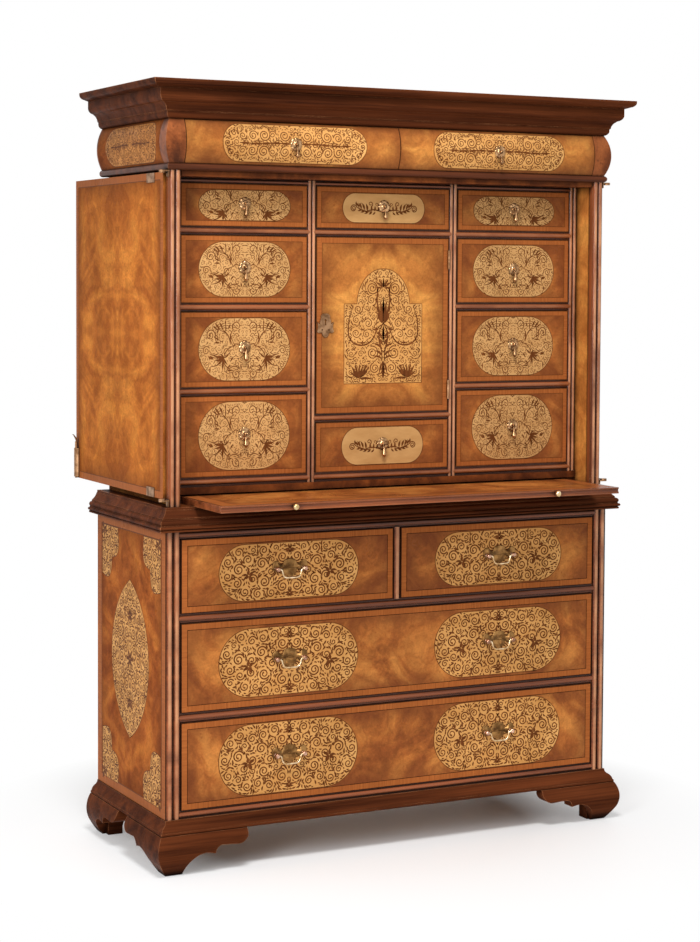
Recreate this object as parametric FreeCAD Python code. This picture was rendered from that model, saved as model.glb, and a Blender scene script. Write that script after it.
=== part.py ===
import FreeCAD, Part
import math
import os
from FreeCAD import Vector

os.makedirs("parts", exist_ok=True)

# Walnut cabinet on chest with bracket feet, a cushion frieze and a pull-out writing slide.
# X runs to the right, Y to the back and Z up. The origin is on the floor under the middle.

# Driving sizes of the chest
CASE_WIDTH = 1100.0
CASE_DEPTH = 412.0
FOOT_HEIGHT = 88.0
FOOT_LENGTH = 180.0
FOOT_REACH = 28.0
BASE_MOULDING_HEIGHT = 29.0
BASE_MOULDING_REACH = 18.0
BOTTOM_RAIL_HEIGHT = 16.2
LOWER_LONG_HEIGHT = 187.5
UPPER_LONG_HEIGHT = 190.0
SHORT_HEIGHT = 157.5
RAIL_HEIGHT = 19.0
TOP_RAIL_HEIGHT = 17.0
WAIST_HEIGHT = 50.0
WAIST_REACH = 23.5
STILE_WIDTH = 34.0
STILE_DEPTH = 18.0
DIVIDER_WIDTH = 17.0
RAIL_DEPTH = 40.0
CASE_SIDE = 18.0
DUST_BOARD = 8.0
TOP_BOARD = 18.0
BACK_BOARD = 8.0
STILE_BEAD = 7.2
RAIL_BEAD = 5.8
FACE_SETBACK = 7.0
CHEST_DRAWER_SETBACK = 3.0

# Driving sizes of the cabinet
CABINET_INSET = 11.0
CABINET_FLOOR = 9.0
CABINET_SIDE = 12.5
CABINET_STILE_WIDTH = 26.5
CABINET_STILE_DEPTH = 13.0
CABINET_STILE_SETBACK = 15.0
CABINET_STILE_BEAD = 5.6
CABINET_SIDE_INSET = 16.5
SLOT_HEIGHT = 18.0
NEST_BASE = 15.0
NEST_SETBACK = 75.0
NEST_FLOOR = 20.2
NEST_BEAD = 6.0
NEST_FACE = 4.0
UPRIGHT_WIDTH = 21.0
UPRIGHT_PLACE = 178.0
UPRIGHT_BEAD = 4.7
OUTER_UPRIGHT = 22.0
SHELF_BOARD = 17.5
SIDE_DRAWER_HEIGHTS = (173.5, 161.0, 144.5, 91.0)
CENTRE_DRAWER_HEIGHT = 109.5
NEST_TOP_RAIL = 9.5
NEST_TOP_BEAD = 4.0
CABINET_ROOF = 11.5
SHELF_DEPTH = 300.0

# Driving sizes of the frieze and the cornice
FRIEZE_FLOOR = 15.0
FRIEZE_NOSING = 6.5
FRIEZE_HEIGHT = 92.5
FRIEZE_BULGE = 12.8
FRIEZE_FOOT = 1.2
FRIEZE_SIDE = 20.0
FRIEZE_BLOCK = 32.0
FRIEZE_TOP = 15.0
CORNICE_HEIGHT = 78.0
CORNICE_REACH = 54.0
CORNICE_TOP_BOARD = 14.0

# Fits shared by all the drawers, doors and the slide
REST_GAP = 0.3
SIDE_GAP = 1.2
TOP_GAP = 1.7
OVERRUN = 60.0
SAME_POINT = 0.001

# Doors and their pivots
DOOR_THICKNESS = 20.0
DOOR_MEETING_GAP = 2.0
DOOR_LIFT = 0.6
PIVOT_OUT = 14.0
PIVOT_BACK = 1.5
PIVOT_FROM_DOOR = 8.0
PIVOT_FROM_EDGE = 14.5
ARM_THICKNESS = 2.5
ARM_WIDTH = 12.0
ARM_START = 47.0
ARM_END = 92.0
ARM_LEAF = 1.2
ARM_LEAF_HEIGHT = 20.0
ARM_EYE = 7.0
ARM_NECK = 6.0
PIVOT_PIN = 3.0
PIN_CLEARANCE = 0.1
BRACKET_THICKNESS = 2.0
BRACKET_HEIGHT = 13.0
BRACKET_PLATE = 3.0
BRACKET_FRONT = 4.5

# Writing slide
SLIDE_THICKNESS = 14.0
SLIDE_DEPTH = 380.0
SLIDE_LIP = 3.0
SLIDE_GROOVE = 2.5
KNOB_REACH = 14.0
KNOB_RADIUS = 6.8
KNOB_STEM = 3.0
KNOB_PLACE = 321.0
KNOB_SHARES = [(0.5, 0.1), (0.9, 0.3), (1.0, 0.52), (0.85, 0.8), (0.3, 1.0)]

# Worked out from the driving sizes
half = CASE_WIDTH / 2
front = -CASE_DEPTH / 2
back = CASE_DEPTH / 2
case_foot = FOOT_HEIGHT
plinth_top = FOOT_HEIGHT + BASE_MOULDING_HEIGHT
rail_1_low = plinth_top
lower_long_low = rail_1_low + BOTTOM_RAIL_HEIGHT + REST_GAP
rail_2_low = lower_long_low + LOWER_LONG_HEIGHT + TOP_GAP
upper_long_low = rail_2_low + RAIL_HEIGHT + REST_GAP
rail_3_low = upper_long_low + UPPER_LONG_HEIGHT + TOP_GAP
short_low = rail_3_low + RAIL_HEIGHT + REST_GAP
rail_4_low = short_low + SHORT_HEIGHT + TOP_GAP
waist_low = rail_4_low + TOP_RAIL_HEIGHT
waist_top = waist_low + WAIST_HEIGHT
chest_top = waist_top - CABINET_FLOOR
face_y = front + FACE_SETBACK
chest_drawer_y = front + CHEST_DRAWER_SETBACK
stile_back_y = face_y + STILE_DEPTH
opening_half = half - STILE_WIDTH
back_board_y = back - BACK_BOARD

cab_half = half - CABINET_INSET
cab_front = front + CABINET_INSET
cab_stile_y = front + CABINET_STILE_SETBACK
cab_stile_back_y = cab_stile_y + CABINET_STILE_DEPTH
cab_side_out = cab_half - CABINET_SIDE_INSET
cab_side_in = cab_side_out - CABINET_SIDE
nest_y = front + NEST_SETBACK
nest_board_y = nest_y + NEST_FACE
nest_low = waist_top + SLOT_HEIGHT
nest_base_top = nest_low + NEST_BASE
nest_floor_top = nest_base_top + NEST_FLOOR
shelf_pitch = TOP_GAP + SHELF_BOARD + REST_GAP
upright_in = UPRIGHT_PLACE - UPRIGHT_WIDTH / 2
upright_out = UPRIGHT_PLACE + UPRIGHT_WIDTH / 2
outer_upright_in = cab_side_in - OUTER_UPRIGHT


def stacked(low, heights, pitch):
    """Lowest and highest level of each drawer front, stacked from the bottom with a shelf between two."""
    levels = []
    for height in heights:
        levels.append((low, low + height))
        low = low + height + pitch
    return levels


side_levels = stacked(nest_floor_top + REST_GAP, SIDE_DRAWER_HEIGHTS, shelf_pitch)
nest_top = side_levels[-1][1] + TOP_GAP
centre_low_levels = (nest_floor_top + REST_GAP, nest_floor_top + REST_GAP + CENTRE_DRAWER_HEIGHT)
cupboard_levels = (centre_low_levels[1] + shelf_pitch, side_levels[2][1])
roof_low = nest_top + NEST_TOP_RAIL
roof_top = roof_low + CABINET_ROOF
frieze_low = roof_top + FRIEZE_FLOOR
frieze_top = frieze_low + FRIEZE_HEIGHT
cornice_top = frieze_top + CORNICE_HEIGHT
slide_low = waist_top + REST_GAP
slide_top = slide_low + SLIDE_THICKNESS


def write(name, solids):
    """Writes the solids of one piece, or of a group of like pieces, under its own name."""
    shape = solids[0] if len(solids) == 1 else Part.makeCompound(solids)
    shape.exportStep("parts/" + name + ".step")
    nodes[name] = shape


nodes = {}


def box(x0, x1, y0, y1, z0, z1):
    return Part.makeBox(x1 - x0, y1 - y0, z1 - z0, Vector(x0, y0, z0))


def sized(shares, across, up):
    """An outline given in shares, brought to its real size."""
    scale = (across, up, across, up)
    return [tuple(share * size for share, size in zip(step, scale)) for step in shares]


def face(outline, place):
    """A flat face. A step of two numbers is a straight run. One of four is an arc: its end, then a point on it."""
    edges = []
    last = place(outline[0][0], outline[0][1])
    first = last
    for step in outline[1:]:
        end = place(step[0], step[1])
        if len(step) == 4:
            edges.append(Part.Arc(last, place(step[2], step[3]), end).toShape())
        else:
            edges.append(Part.makeLine(last, end))
        last = end
    if last.distanceToPoint(first) > SAME_POINT:
        edges.append(Part.makeLine(last, first))
    return Part.Face(Part.Wire(edges))


def mirrored(shape):
    """The same piece on the other side of the middle."""
    return shape.mirror(Vector(0, 0, 0), Vector(1, 0, 0))


def along_x(outline, x0, x1):
    """A section in depth and height, carried across the piece."""
    return face(outline, lambda y, z: Vector(x0, y, z)).extrude(Vector(x1 - x0, 0, 0))


def along_y(outline, y0, y1):
    return face(outline, lambda x, z: Vector(x, y0, z)).extrude(Vector(0, y1 - y0, 0))


def along_z(outline, z0, z1):
    return face(outline, lambda x, y: Vector(x, y, z0)).extrude(Vector(0, 0, z1 - z0))


ROUND_SIDES = 8


def corners(radius):
    """Corners of a small round section. So small a piece is kept to eight flats."""
    step = 2 * math.pi / ROUND_SIDES
    return [(radius * math.cos((number + 0.5) * step), radius * math.sin((number + 0.5) * step))
            for number in range(ROUND_SIDES)]


def bore_corners(radius):
    """Corners of a hole whose flats keep clear of a round pin of this radius."""
    return corners(radius / math.cos(math.pi / ROUND_SIDES))


def shifted(outline, across, up):
    return [(across + a, up + b) for a, b in outline]


def faceted(rings):
    """A solid with one flat facet from each side of a ring of points to the next ring, closed at both ends."""
    facets = [Part.Face(Part.makePolygon(ring + ring[:1])) for ring in (rings[0], rings[-1])]
    for low, high in zip(rings, rings[1:]):
        for number in range(-1, len(low) - 1):
            after = number + 1
            quad = [low[number], low[after], high[after], high[number], low[number]]
            facets.append(Part.Face(Part.makePolygon(quad)))
    solid = Part.makeSolid(Part.makeShell(facets))
    if solid.Volume < 0:
        solid.reverse()
    return solid


def turned(outline, place):
    """A small turned piece: a ring at each (radius, height) of its outline, put in place by a function."""
    return faceted([[place(a, b, height) for a, b in corners(radius)] for radius, height in outline])


def surround(outline, low, half_width, front_y, back_y, reach, wall):
    """Front and two side lengths of a moulding, mitred at the front corners and cut square at the back."""
    high = low + OVERRUN + OVERRUN
    far = half_width + reach + OVERRUN
    deep = wall + OVERRUN
    front_run = along_x([(front_y - s[0], low + s[1]) + tuple(
        (front_y - s[2], low + s[3]) if len(s) == 4 else ()) for s in outline], -far, far)
    side_run = along_y([(half_width + s[0], low + s[1]) + tuple(
        (half_width + s[2], low + s[3]) if len(s) == 4 else ()) for s in outline], front_y - far, back_y)
    nose = reach + OVERRUN
    wedge = along_z([(-half_width - nose, front_y - nose), (half_width + nose, front_y - nose),
                     (half_width - deep, front_y + deep), (deep - half_width, front_y + deep)],
                    low - OVERRUN, high)
    flank = along_z([(half_width + nose, front_y - nose), (half_width + nose, back_y),
                     (half_width - deep, back_y), (half_width - deep, front_y + deep)], low - OVERRUN, high)
    side = side_run.common(flank).Solids[0]
    return [front_run.common(wedge).Solids[0], side, mirrored(side)]


def bead_along_x(radius, x0, x1, y, z):
    """A half-round bead with a pointed end on each side, which drops into a notch of the upright there."""
    rod = along_x([(y, z - radius), (y, z + radius, y - radius, z)], x0 - radius, x1 + radius)
    points = along_y([(x0 - radius, z), (x0, z + radius), (x1, z + radius),
                      (x1 + radius, z), (x1, z - radius), (x0, z - radius)], y - radius, y)
    return rod.common(points).Solids[0]


def bead_board(x0, x1, y, depth, z0, z1, radius, z):
    """A rail or shelf with its bead on the front edge."""
    return box(x0, x1, y, y + depth, z0, z1).fuse(bead_along_x(radius, x0, x1, y, z)).removeSplitter()


def bead_post(x0, x1, y, depth, z0, z1, radius, count, notches):
    """An upright with half-round beads on its front edge. Each notch is (edge x, side, level, radius)."""
    width = x1 - x0
    pitch = (width - count * 2 * radius) / (count + 1) + 2 * radius
    outline = [(x0, y)]
    for number in range(count):
        centre = x0 + width / 2 + (number - (count - 1) / 2) * pitch
        outline.append((centre - radius, y))
        outline.append((centre + radius, y, centre, y - radius))
    outline = outline + [(x1, y), (x1, y + depth), (x0, y + depth)]
    post = along_z(outline, z0, z1)
    for edge, side, level, size in notches:
        post = post.cut(along_y([(edge, level - size), (edge + side * size, level), (edge, level + size)],
                                y - OVERRUN, y))
    return post.Solids[0]


# Bracket feet: ogee brackets mitred at the front corners over a corner block
BRACKET_SHARES = [(-0.16, 0.0), (0.2, 0.0), (0.47, 0.53, 0.28, 0.38), (0.572, 0.49), (0.68, 0.68, 0.60, 0.63),
                  (0.85, 0.66), (1.0, 1.0, 0.965, 0.74), (-0.16, 1.0)]
OGEE_SHARES = [(0.07, 0.0), (0.81, 0.35, 0.455, 0.165), (0.65, 1.0, 1.0, 0.65)]
FOOT_BACK = 6.0
FOOT_BLOCK = 34.0
BRACE_THICKNESS = 18.0
BRACE_SHARES = [(0.0, 0.0), (0.25, 0.0), (0.85, 1.0, 0.4, 0.6), (0.0, 1.0)]


def front_bracket(cut_square):
    """The bracket at the right front corner. Its outline is crossed with the ogee of its section."""
    shape = [(half - s[0],) + s[1:2] + ((half - s[2], s[3]) if len(s) == 4 else ())
             for s in sized(BRACKET_SHARES, FOOT_LENGTH, FOOT_HEIGHT)]
    section = [(front + FOOT_BACK, 0)]
    section = section + [(front - s[0],) + s[1:2] + ((front - s[2], s[3]) if len(s) == 4 else ())
                         for s in sized(OGEE_SHARES, FOOT_REACH, FOOT_HEIGHT)]
    section.append((front + FOOT_BACK, FOOT_HEIGHT))
    bracket = along_x(section, half - FOOT_LENGTH, half + FOOT_REACH)
    bracket = bracket.common(along_y(shape, front - OVERRUN, front + OVERRUN))
    reach = FOOT_REACH + OVERRUN
    if cut_square:
        keep = box(half - FOOT_LENGTH, half, front - OVERRUN, front + OVERRUN, 0, FOOT_HEIGHT)
    else:
        far = half - FOOT_LENGTH - OVERRUN
        keep = along_z([(far, front - reach), (half + reach, front - reach), (half - reach, front + reach),
                        (far, front + reach)], 0, FOOT_HEIGHT)
    return bracket.common(keep).Solids[0]


def corner_block(y0):
    return box(half - FOOT_BACK - FOOT_BLOCK, half - FOOT_BACK, y0, y0 + FOOT_BLOCK, 0, FOOT_HEIGHT)


corner_turn = (Vector(half, front, 0), Vector(1, 1, 0))
front_foot = [front_bracket(False), front_bracket(False).mirror(*corner_turn), corner_block(front + FOOT_BACK)]
back_side = front_bracket(True).mirror(*corner_turn).mirror(Vector(0, 0, 0), Vector(0, 1, 0))
brace = along_y([(half - FOOT_BACK - s[0],) + s[1:2] + ((half - FOOT_BACK - s[2], s[3]) if len(s) == 4 else ())
                 for s in sized(BRACE_SHARES, FOOT_LENGTH, FOOT_HEIGHT)], back - BRACE_THICKNESS, back)
back_foot = [back_side, brace, corner_block(back - BRACE_THICKNESS - FOOT_BLOCK)]
right_feet = front_foot + back_foot
write("bracket_feet", right_feet + [mirrored(piece) for piece in right_feet])

# Mouldings round the foot and the top of the chest
BASE_SHARES = [(0.0, 0.0), (0.88, 0.0), (0.88, 0.2, 1.0, 0.1), (0.45, 0.62, 0.72, 0.45), (0.1, 0.92, 0.22, 0.74),
               (0.1, 1.0), (0.0, 1.0)]
WAIST_SHARES = [(0.0, 0.0), (0.84, 0.0), (0.84, 0.09, 0.9, 0.045), (0.82, 0.12), (0.84, 0.25, 1.0, 0.185),
                (0.8, 0.28), (0.84, 0.33), (0.66, 0.5, 0.84, 0.45), (0.6, 0.52), (0.6, 0.57),
                (0.12, 0.88, 0.33, 0.69), (0.06, 0.9), (0.06, 1.0)]
floor_seat = WAIST_HEIGHT - CABINET_FLOOR
waist_outline = sized(WAIST_SHARES, WAIST_REACH, WAIST_HEIGHT)
waist_outline = waist_outline + [(-CABINET_INSET, WAIST_HEIGHT), (-CABINET_INSET, floor_seat), (0.0, floor_seat)]
write("base_moulding", surround(sized(BASE_SHARES, BASE_MOULDING_REACH, BASE_MOULDING_HEIGHT), case_foot,
                                half, front, back, BASE_MOULDING_REACH, BASE_MOULDING_REACH))
write("waist_moulding", surround(waist_outline, waist_low, half, front, back, WAIST_REACH, CABINET_INSET))

# Chest: sides, front frame, boards and backs
side_board = box(half - CASE_SIDE, half, stile_back_y, back, case_foot, chest_top)
write("chest_sides", [side_board, mirrored(side_board)])

rail_beads = [(rail_2_low + RAIL_HEIGHT / 2, RAIL_BEAD), (rail_3_low + RAIL_HEIGHT / 2, RAIL_BEAD)]
end_beads = [(rail_1_low + BOTTOM_RAIL_HEIGHT / 2, RAIL_BEAD), (rail_4_low + TOP_RAIL_HEIGHT / 2, RAIL_BEAD)]
stile = bead_post(opening_half, half, face_y, STILE_DEPTH, plinth_top, waist_low, STILE_BEAD, 2,
                  [(opening_half, 1, level, size) for level, size in rail_beads + end_beads])
divider_half = DIVIDER_WIDTH / 2
divider = bead_post(-divider_half, divider_half, face_y, RAIL_DEPTH, rail_3_low + RAIL_HEIGHT, rail_4_low,
                    STILE_BEAD, 1, [])
chest_rails = [bead_board(-opening_half, opening_half, face_y, RAIL_DEPTH, low, low + height, RAIL_BEAD,
                          low + height / 2)
               for low, height in ((rail_1_low, BOTTOM_RAIL_HEIGHT), (rail_2_low, RAIL_HEIGHT),
                                   (rail_3_low, RAIL_HEIGHT), (rail_4_low, TOP_RAIL_HEIGHT))]
plinth_rail = box(-half, half, front, stile_back_y, case_foot, plinth_top)
crown_rail = box(-half, half, front, stile_back_y, waist_low, chest_top)
write("chest_front_frame", [plinth_rail, crown_rail, stile, mirrored(stile), divider] + chest_rails)

inside_half = half - CASE_SIDE
board_y = face_y + RAIL_DEPTH
dust_levels = [rail_1_low + BOTTOM_RAIL_HEIGHT, rail_2_low + RAIL_HEIGHT, rail_3_low + RAIL_HEIGHT]
dust_boards = [box(-inside_half, inside_half, board_y, back_board_y, level - DUST_BOARD, level)
               for level in dust_levels]
top_board = box(-inside_half, inside_half, stile_back_y, back_board_y, chest_top - TOP_BOARD, chest_top)
centre_runner = box(-DIVIDER_WIDTH / 2, DIVIDER_WIDTH / 2, board_y, back_board_y, dust_levels[2], rail_4_low)
write("chest_boards", dust_boards + [top_board, centre_runner])
write("back_boards", [box(-inside_half, inside_half, back_board_y, back, case_foot, chest_top),
                      box(-cab_side_in, cab_side_in, back_board_y, back, waist_top, roof_top)])


# Brass drop pulls: a lobed rosette with a forked stud, and a drop hung on the fork's pin
ROSETTE_RADIUS = 14.0
ROSETTE_VALLEY = 12.0
ROSETTE_LOBES = 8
ROSETTE_THICKNESS = 1.6
BOSS_RADIUS = 7.0
BOSS_TOP_RADIUS = 4.2
BOSS_RISE = 1.8
FORK_HALF = 2.6
FORK_SLOT = 1.3
FORK_REACH = 8.6
FORK_ROOT = 3.0
DROP_PIVOT = 6.4
DROP_PIN = 0.9
DROP_EYE = 2.4
DROP_TAB = 0.9
DROP_LENGTH = 30.0
DROP_RADIUS = 4.6
DROP_HOLE_GAP = 0.3
DROP_SHARES = [(0.15, 0.055), (0.15, 0.13), (0.5, 0.17), (0.25, 0.25), (0.85, 0.63), (1.0, 0.78), (0.2, 1.0)]


def rosette(x, y, z):
    """The fixed half of a drop pull, on a drawer front at depth y."""
    outline = []
    step = math.pi / ROSETTE_LOBES
    for number in range(2 * ROSETTE_LOBES):
        angle = number * step
        radius = ROSETTE_VALLEY if number % 2 == 0 else ROSETTE_RADIUS
        outline.append((x + radius * math.sin(angle), z + radius * math.cos(angle)))
    plate = along_y(outline, y - ROSETTE_THICKNESS, y)
    boss_y = y - ROSETTE_THICKNESS
    boss = turned([(BOSS_RADIUS, 0), (BOSS_TOP_RADIUS, BOSS_RISE)],
                  lambda a, b, h: Vector(x + a, boss_y - h, z + b))
    fork = box(x - FORK_HALF, x + FORK_HALF, boss_y - FORK_REACH, boss_y, z - FORK_HALF, z + FORK_HALF)
    slot = box(x - FORK_SLOT, x + FORK_SLOT, boss_y - FORK_REACH - OVERRUN, boss_y - FORK_ROOT,
               z - OVERRUN, z + OVERRUN)
    pin = along_x(shifted(corners(DROP_PIN), boss_y - DROP_PIVOT, z), x - FORK_HALF, x + FORK_HALF)
    return plate.fuse([boss, fork.cut(slot), pin]).Solids[0]


def drop(x, y, z):
    """The hanging half: an eye round the pin and a turned drop below it."""
    pivot_y = y - ROSETTE_THICKNESS - DROP_PIVOT
    eye = along_x(shifted(corners(DROP_EYE), pivot_y, z), x - DROP_TAB, x + DROP_TAB)
    hole = along_x(shifted(bore_corners(DROP_PIN + DROP_HOLE_GAP), pivot_y, z), x - DROP_RADIUS,
                   x + DROP_RADIUS)
    body = turned([(share * DROP_RADIUS, down * DROP_LENGTH) for share, down in DROP_SHARES],
                  lambda a, b, h: Vector(x + a, pivot_y + b, z - h))
    return eye.fuse(body).cut(hole).Solids[0]


# Brass bail handles: a plate with a shield in the middle and an ear round each post, and a bail that turns in them
PLATE_HALF_WIDTH = 40.5
PLATE_HALF_HEIGHT = 25.0
PLATE_THICKNESS = 1.6
PLATE_SHARES = [(0.0, -1.0), (0.3, -0.5, 0.1, -0.7), (0.38, 0.0, 0.39, -0.26), (0.6, -0.16, 0.5, 0.0),
                (1.0, 0.2, 0.88, -0.22), (0.8, 0.68, 0.98, 0.54), (0.6, 0.4, 0.7, 0.5), (0.38, 0.46, 0.49, 0.34),
                (0.16, 0.78, 0.33, 0.7), (0.0, 0.86, 0.08, 0.84)]
POST_PLACE = 32.5
POST_RADIUS = 2.6
POST_HEAD = 4.2
POST_HEAD_LENGTH = 7.0
POST_REACH = 15.0
BAIL_RADIUS = 2.0
BAIL_PIN = 1.4
BAIL_HOLE_GAP = 0.2
BAIL_PIN_DEPTH = 3.0
BAIL_NECK = 1.5
BAIL_BEND = 5.0
BAIL_DROP = 18.5
BAIL_RISE = 8.0
BEND_STEPS = 2


def bail_plate(x, y, z):
    """Plate and posts, on a drawer front at depth y."""
    right = sized(PLATE_SHARES, PLATE_HALF_WIDTH, PLATE_HALF_HEIGHT)
    outline = [(x + right[0][0], z + right[0][1])]
    for step in right[1:]:
        outline.append((x + step[0], z + step[1], x + step[2], z + step[3]))
    for number in range(len(right) - 1, 0, -1):
        end = right[number - 1]
        through = right[number]
        outline.append((x - end[0], z + end[1], x - through[2], z + through[3]))
    shape = along_y(outline, y - PLATE_THICKNESS, y)
    pin_y = y - POST_REACH + POST_HEAD_LENGTH / 2
    for side in (-1, 1):
        at = x + side * POST_PLACE
        stem = along_y(shifted(corners(POST_RADIUS), at, z), y - POST_REACH, y)
        head = along_y(shifted(corners(POST_HEAD), at, z), y - POST_REACH, y - POST_REACH + POST_HEAD_LENGTH)
        hole = along_x(shifted(bore_corners(BAIL_PIN + BAIL_HOLE_GAP), pin_y, z), at,
                       at - side * (POST_HEAD + BAIL_PIN_DEPTH / 2))
        shape = shape.fuse([stem, head]).cut(hole)
    return shape.Solids[0]


def bail(x, y, z):
    """The hanging bail: pins in the post heads, and a round rod bent down, across and up again."""
    pin_y = y - POST_REACH + POST_HEAD_LENGTH / 2
    inner = POST_PLACE - POST_HEAD - REST_GAP
    bend_x = inner - BAIL_NECK
    turn_x = bend_x - BAIL_BEND - BAIL_RISE
    turn_z = BAIL_RISE - BAIL_DROP
    stations = [(inner, 0, 0, -1)]
    for number in range(BEND_STEPS + 1):
        angle = math.pi / 2 * (1 + number / BEND_STEPS)
        across = math.cos(angle)
        up = math.sin(angle)
        stations.append((bend_x + BAIL_BEND * across, BAIL_BEND * up - BAIL_BEND, -across, -up))
    for number in range(BEND_STEPS + 1):
        angle = -math.pi / 2 * number / BEND_STEPS
        across = math.cos(angle)
        up = math.sin(angle)
        stations.append((turn_x + BAIL_RISE * across, turn_z + BAIL_RISE * up, across, up))
    stations = stations + [(-px, pz, -across, up) for px, pz, across, up in reversed(stations)]
    rings = []
    for px, pz, across, up in stations:
        rings.append([Vector(x + px + a * across, pin_y + b, z + pz + a * up) for a, b in corners(BAIL_RADIUS)])
    rod = faceted(rings)
    pins = [along_x(shifted(corners(BAIL_PIN), pin_y, z), x + side * inner,
                    x + side * (inner + BAIL_PIN_DEPTH + REST_GAP)) for side in (-1, 1)]
    return rod.fuse(pins).Solids[0]


# Drawers: a front, two sides, a back and a bottom, each a board of its own
CHEST_DRAWER = dict(front_board=20.0, side_board=12.0, bottom=6.0, depth=385.0)
NEST_DRAWER = dict(front_board=14.0, side_board=8.0, bottom=5.0, depth=300.0)
FRIEZE_DRAWER = dict(front_board=20.0, side_board=9.0, bottom=5.0, depth=350.0)
BOTTOM_RAISE = 3.0
SIDE_DROP = 4.0
HANDLE_RISE = 4.0


def drawer_boards(x0, x1, y, z0, z1, make, front_piece):
    """Boards of one drawer whose front's back face lies at y + front_board."""
    inner_y = y + make["front_board"]
    end_y = y + make["depth"]
    wall = make["side_board"]
    left = box(x0, x0 + wall, inner_y, end_y, z0, z1 - SIDE_DROP)
    right = box(x1 - wall, x1, inner_y, end_y, z0, z1 - SIDE_DROP)
    bottom = box(x0 + wall, x1 - wall, inner_y, end_y, z0 + BOTTOM_RAISE, z0 + BOTTOM_RAISE + make["bottom"])
    rear = box(x0 + wall, x1 - wall, end_y - wall, end_y, z0 + BOTTOM_RAISE + make["bottom"], z1 - SIDE_DROP)
    return [front_piece, left, right, bottom, rear]


def flat_drawer(x0, x1, y, z0, z1, make):
    front_piece = box(x0, x1, y, y + make["front_board"], z0, z1)
    return drawer_boards(x0, x1, y, z0, z1, make, front_piece)


PANEL_PLACE = 262.5
chest_drawers = {
    "short_drawer_left": (-opening_half + SIDE_GAP, -DIVIDER_WIDTH / 2 - SIDE_GAP, short_low, SHORT_HEIGHT,
                          (-PANEL_PLACE,)),
    "short_drawer_right": (DIVIDER_WIDTH / 2 + SIDE_GAP, opening_half - SIDE_GAP, short_low, SHORT_HEIGHT,
                           (PANEL_PLACE,)),
    "long_drawer_upper": (-opening_half + SIDE_GAP, opening_half - SIDE_GAP, upper_long_low, UPPER_LONG_HEIGHT,
                          (-PANEL_PLACE, PANEL_PLACE)),
    "long_drawer_lower": (-opening_half + SIDE_GAP, opening_half - SIDE_GAP, lower_long_low, LOWER_LONG_HEIGHT,
                          (-PANEL_PLACE, PANEL_PLACE)),
}
for name, (x0, x1, low, height, places) in chest_drawers.items():
    handle_z = low + height / 2 + HANDLE_RISE
    boards = flat_drawer(x0, x1, chest_drawer_y, low, low + height, CHEST_DRAWER)
    write(name, boards + [bail_plate(place, chest_drawer_y, handle_z) for place in places])
    for place in places:
        side_name = "" if len(places) == 1 else ("_left" if place < 0 else "_right")
        write(name.replace("_drawer", "_bail") + side_name, [bail(place, chest_drawer_y, handle_z)])

# Cabinet case: floor, sides, beaded stiles, roof and the runners of the slide
cabinet_floor = box(-cab_half, cab_half, cab_front, back, chest_top, waist_top)
cabinet_roof = box(-cab_side_in, cab_side_in, cab_stile_y, back_board_y, roof_low, roof_top)
runner = box(outer_upright_in, cab_side_in, nest_y, back_board_y, waist_top, nest_low)
nest_base = box(-cab_side_in, cab_side_in, nest_y - NEST_FACE, nest_y + SHELF_DEPTH, nest_low, nest_base_top)
write("cabinet_boards", [cabinet_floor, cabinet_roof, runner, mirrored(runner), nest_base])
cabinet_side = box(cab_side_in, cab_side_out, cab_stile_back_y, back, waist_top, roof_top)
write("cabinet_sides", [cabinet_side, mirrored(cabinet_side)])
cabinet_stile = bead_post(cab_half - CABINET_STILE_WIDTH, cab_half, cab_stile_y, CABINET_STILE_DEPTH, waist_top,
                          roof_top, CABINET_STILE_BEAD, 2, [])
write("cabinet_stiles", [cabinet_stile, mirrored(cabinet_stile)])

# Nest of drawers: four uprights and the shelves between them, with pointed beads let into the uprights
shelf_back = nest_y + SHELF_DEPTH
upright_depth = shelf_back - nest_board_y
floor_bead = nest_base_top + NEST_FLOOR / 2
top_bead = nest_top + NEST_TOP_RAIL / 2
side_shelves = [side_levels[number][1] + TOP_GAP for number in range(3)]
centre_shelves = [centre_low_levels[1] + TOP_GAP, cupboard_levels[1] + TOP_GAP]
side_notches = [(low + SHELF_BOARD / 2, NEST_BEAD) for low in side_shelves]
centre_notches = [(low + SHELF_BOARD / 2, NEST_BEAD) for low in centre_shelves]
end_notches = [(floor_bead, NEST_BEAD), (top_bead, NEST_TOP_BEAD)]


def nest_post(x0, x1, inner, outer):
    """One upright, notched on its inner and outer edge for the beads that meet it."""
    notches = [(x0, 1, level, size) for level, size in inner] + [(x1, -1, level, size) for level, size in outer]
    return bead_post(x0, x1, nest_board_y, upright_depth, nest_base_top, roof_low, UPRIGHT_BEAD, 2, notches)


inner_post = nest_post(upright_in, upright_out, centre_notches + end_notches, side_notches + end_notches)
outer_post = nest_post(outer_upright_in, cab_side_in, side_notches + end_notches, [])
write("nest_uprights", [inner_post, outer_post, mirrored(inner_post), mirrored(outer_post)])


def nest_shelf(x0, x1, low, thickness, radius):
    return bead_board(x0, x1, nest_board_y, upright_depth, low, low + thickness, radius, low + thickness / 2)


side_boards = [nest_shelf(upright_out, outer_upright_in, low, SHELF_BOARD, NEST_BEAD) for low in side_shelves]
side_boards.append(nest_shelf(upright_out, outer_upright_in, nest_base_top, NEST_FLOOR, NEST_BEAD))
side_boards.append(nest_shelf(upright_out, outer_upright_in, nest_top, NEST_TOP_RAIL, NEST_TOP_BEAD))
centre_boards = [nest_shelf(-upright_in, upright_in, low, SHELF_BOARD, NEST_BEAD) for low in centre_shelves]
centre_boards.append(nest_shelf(-upright_in, upright_in, nest_base_top, NEST_FLOOR, NEST_BEAD))
centre_boards.append(nest_shelf(-upright_in, upright_in, nest_top, NEST_TOP_RAIL, NEST_TOP_BEAD))
write("nest_shelves", side_boards + [mirrored(board) for board in side_boards] + centre_boards)

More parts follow.
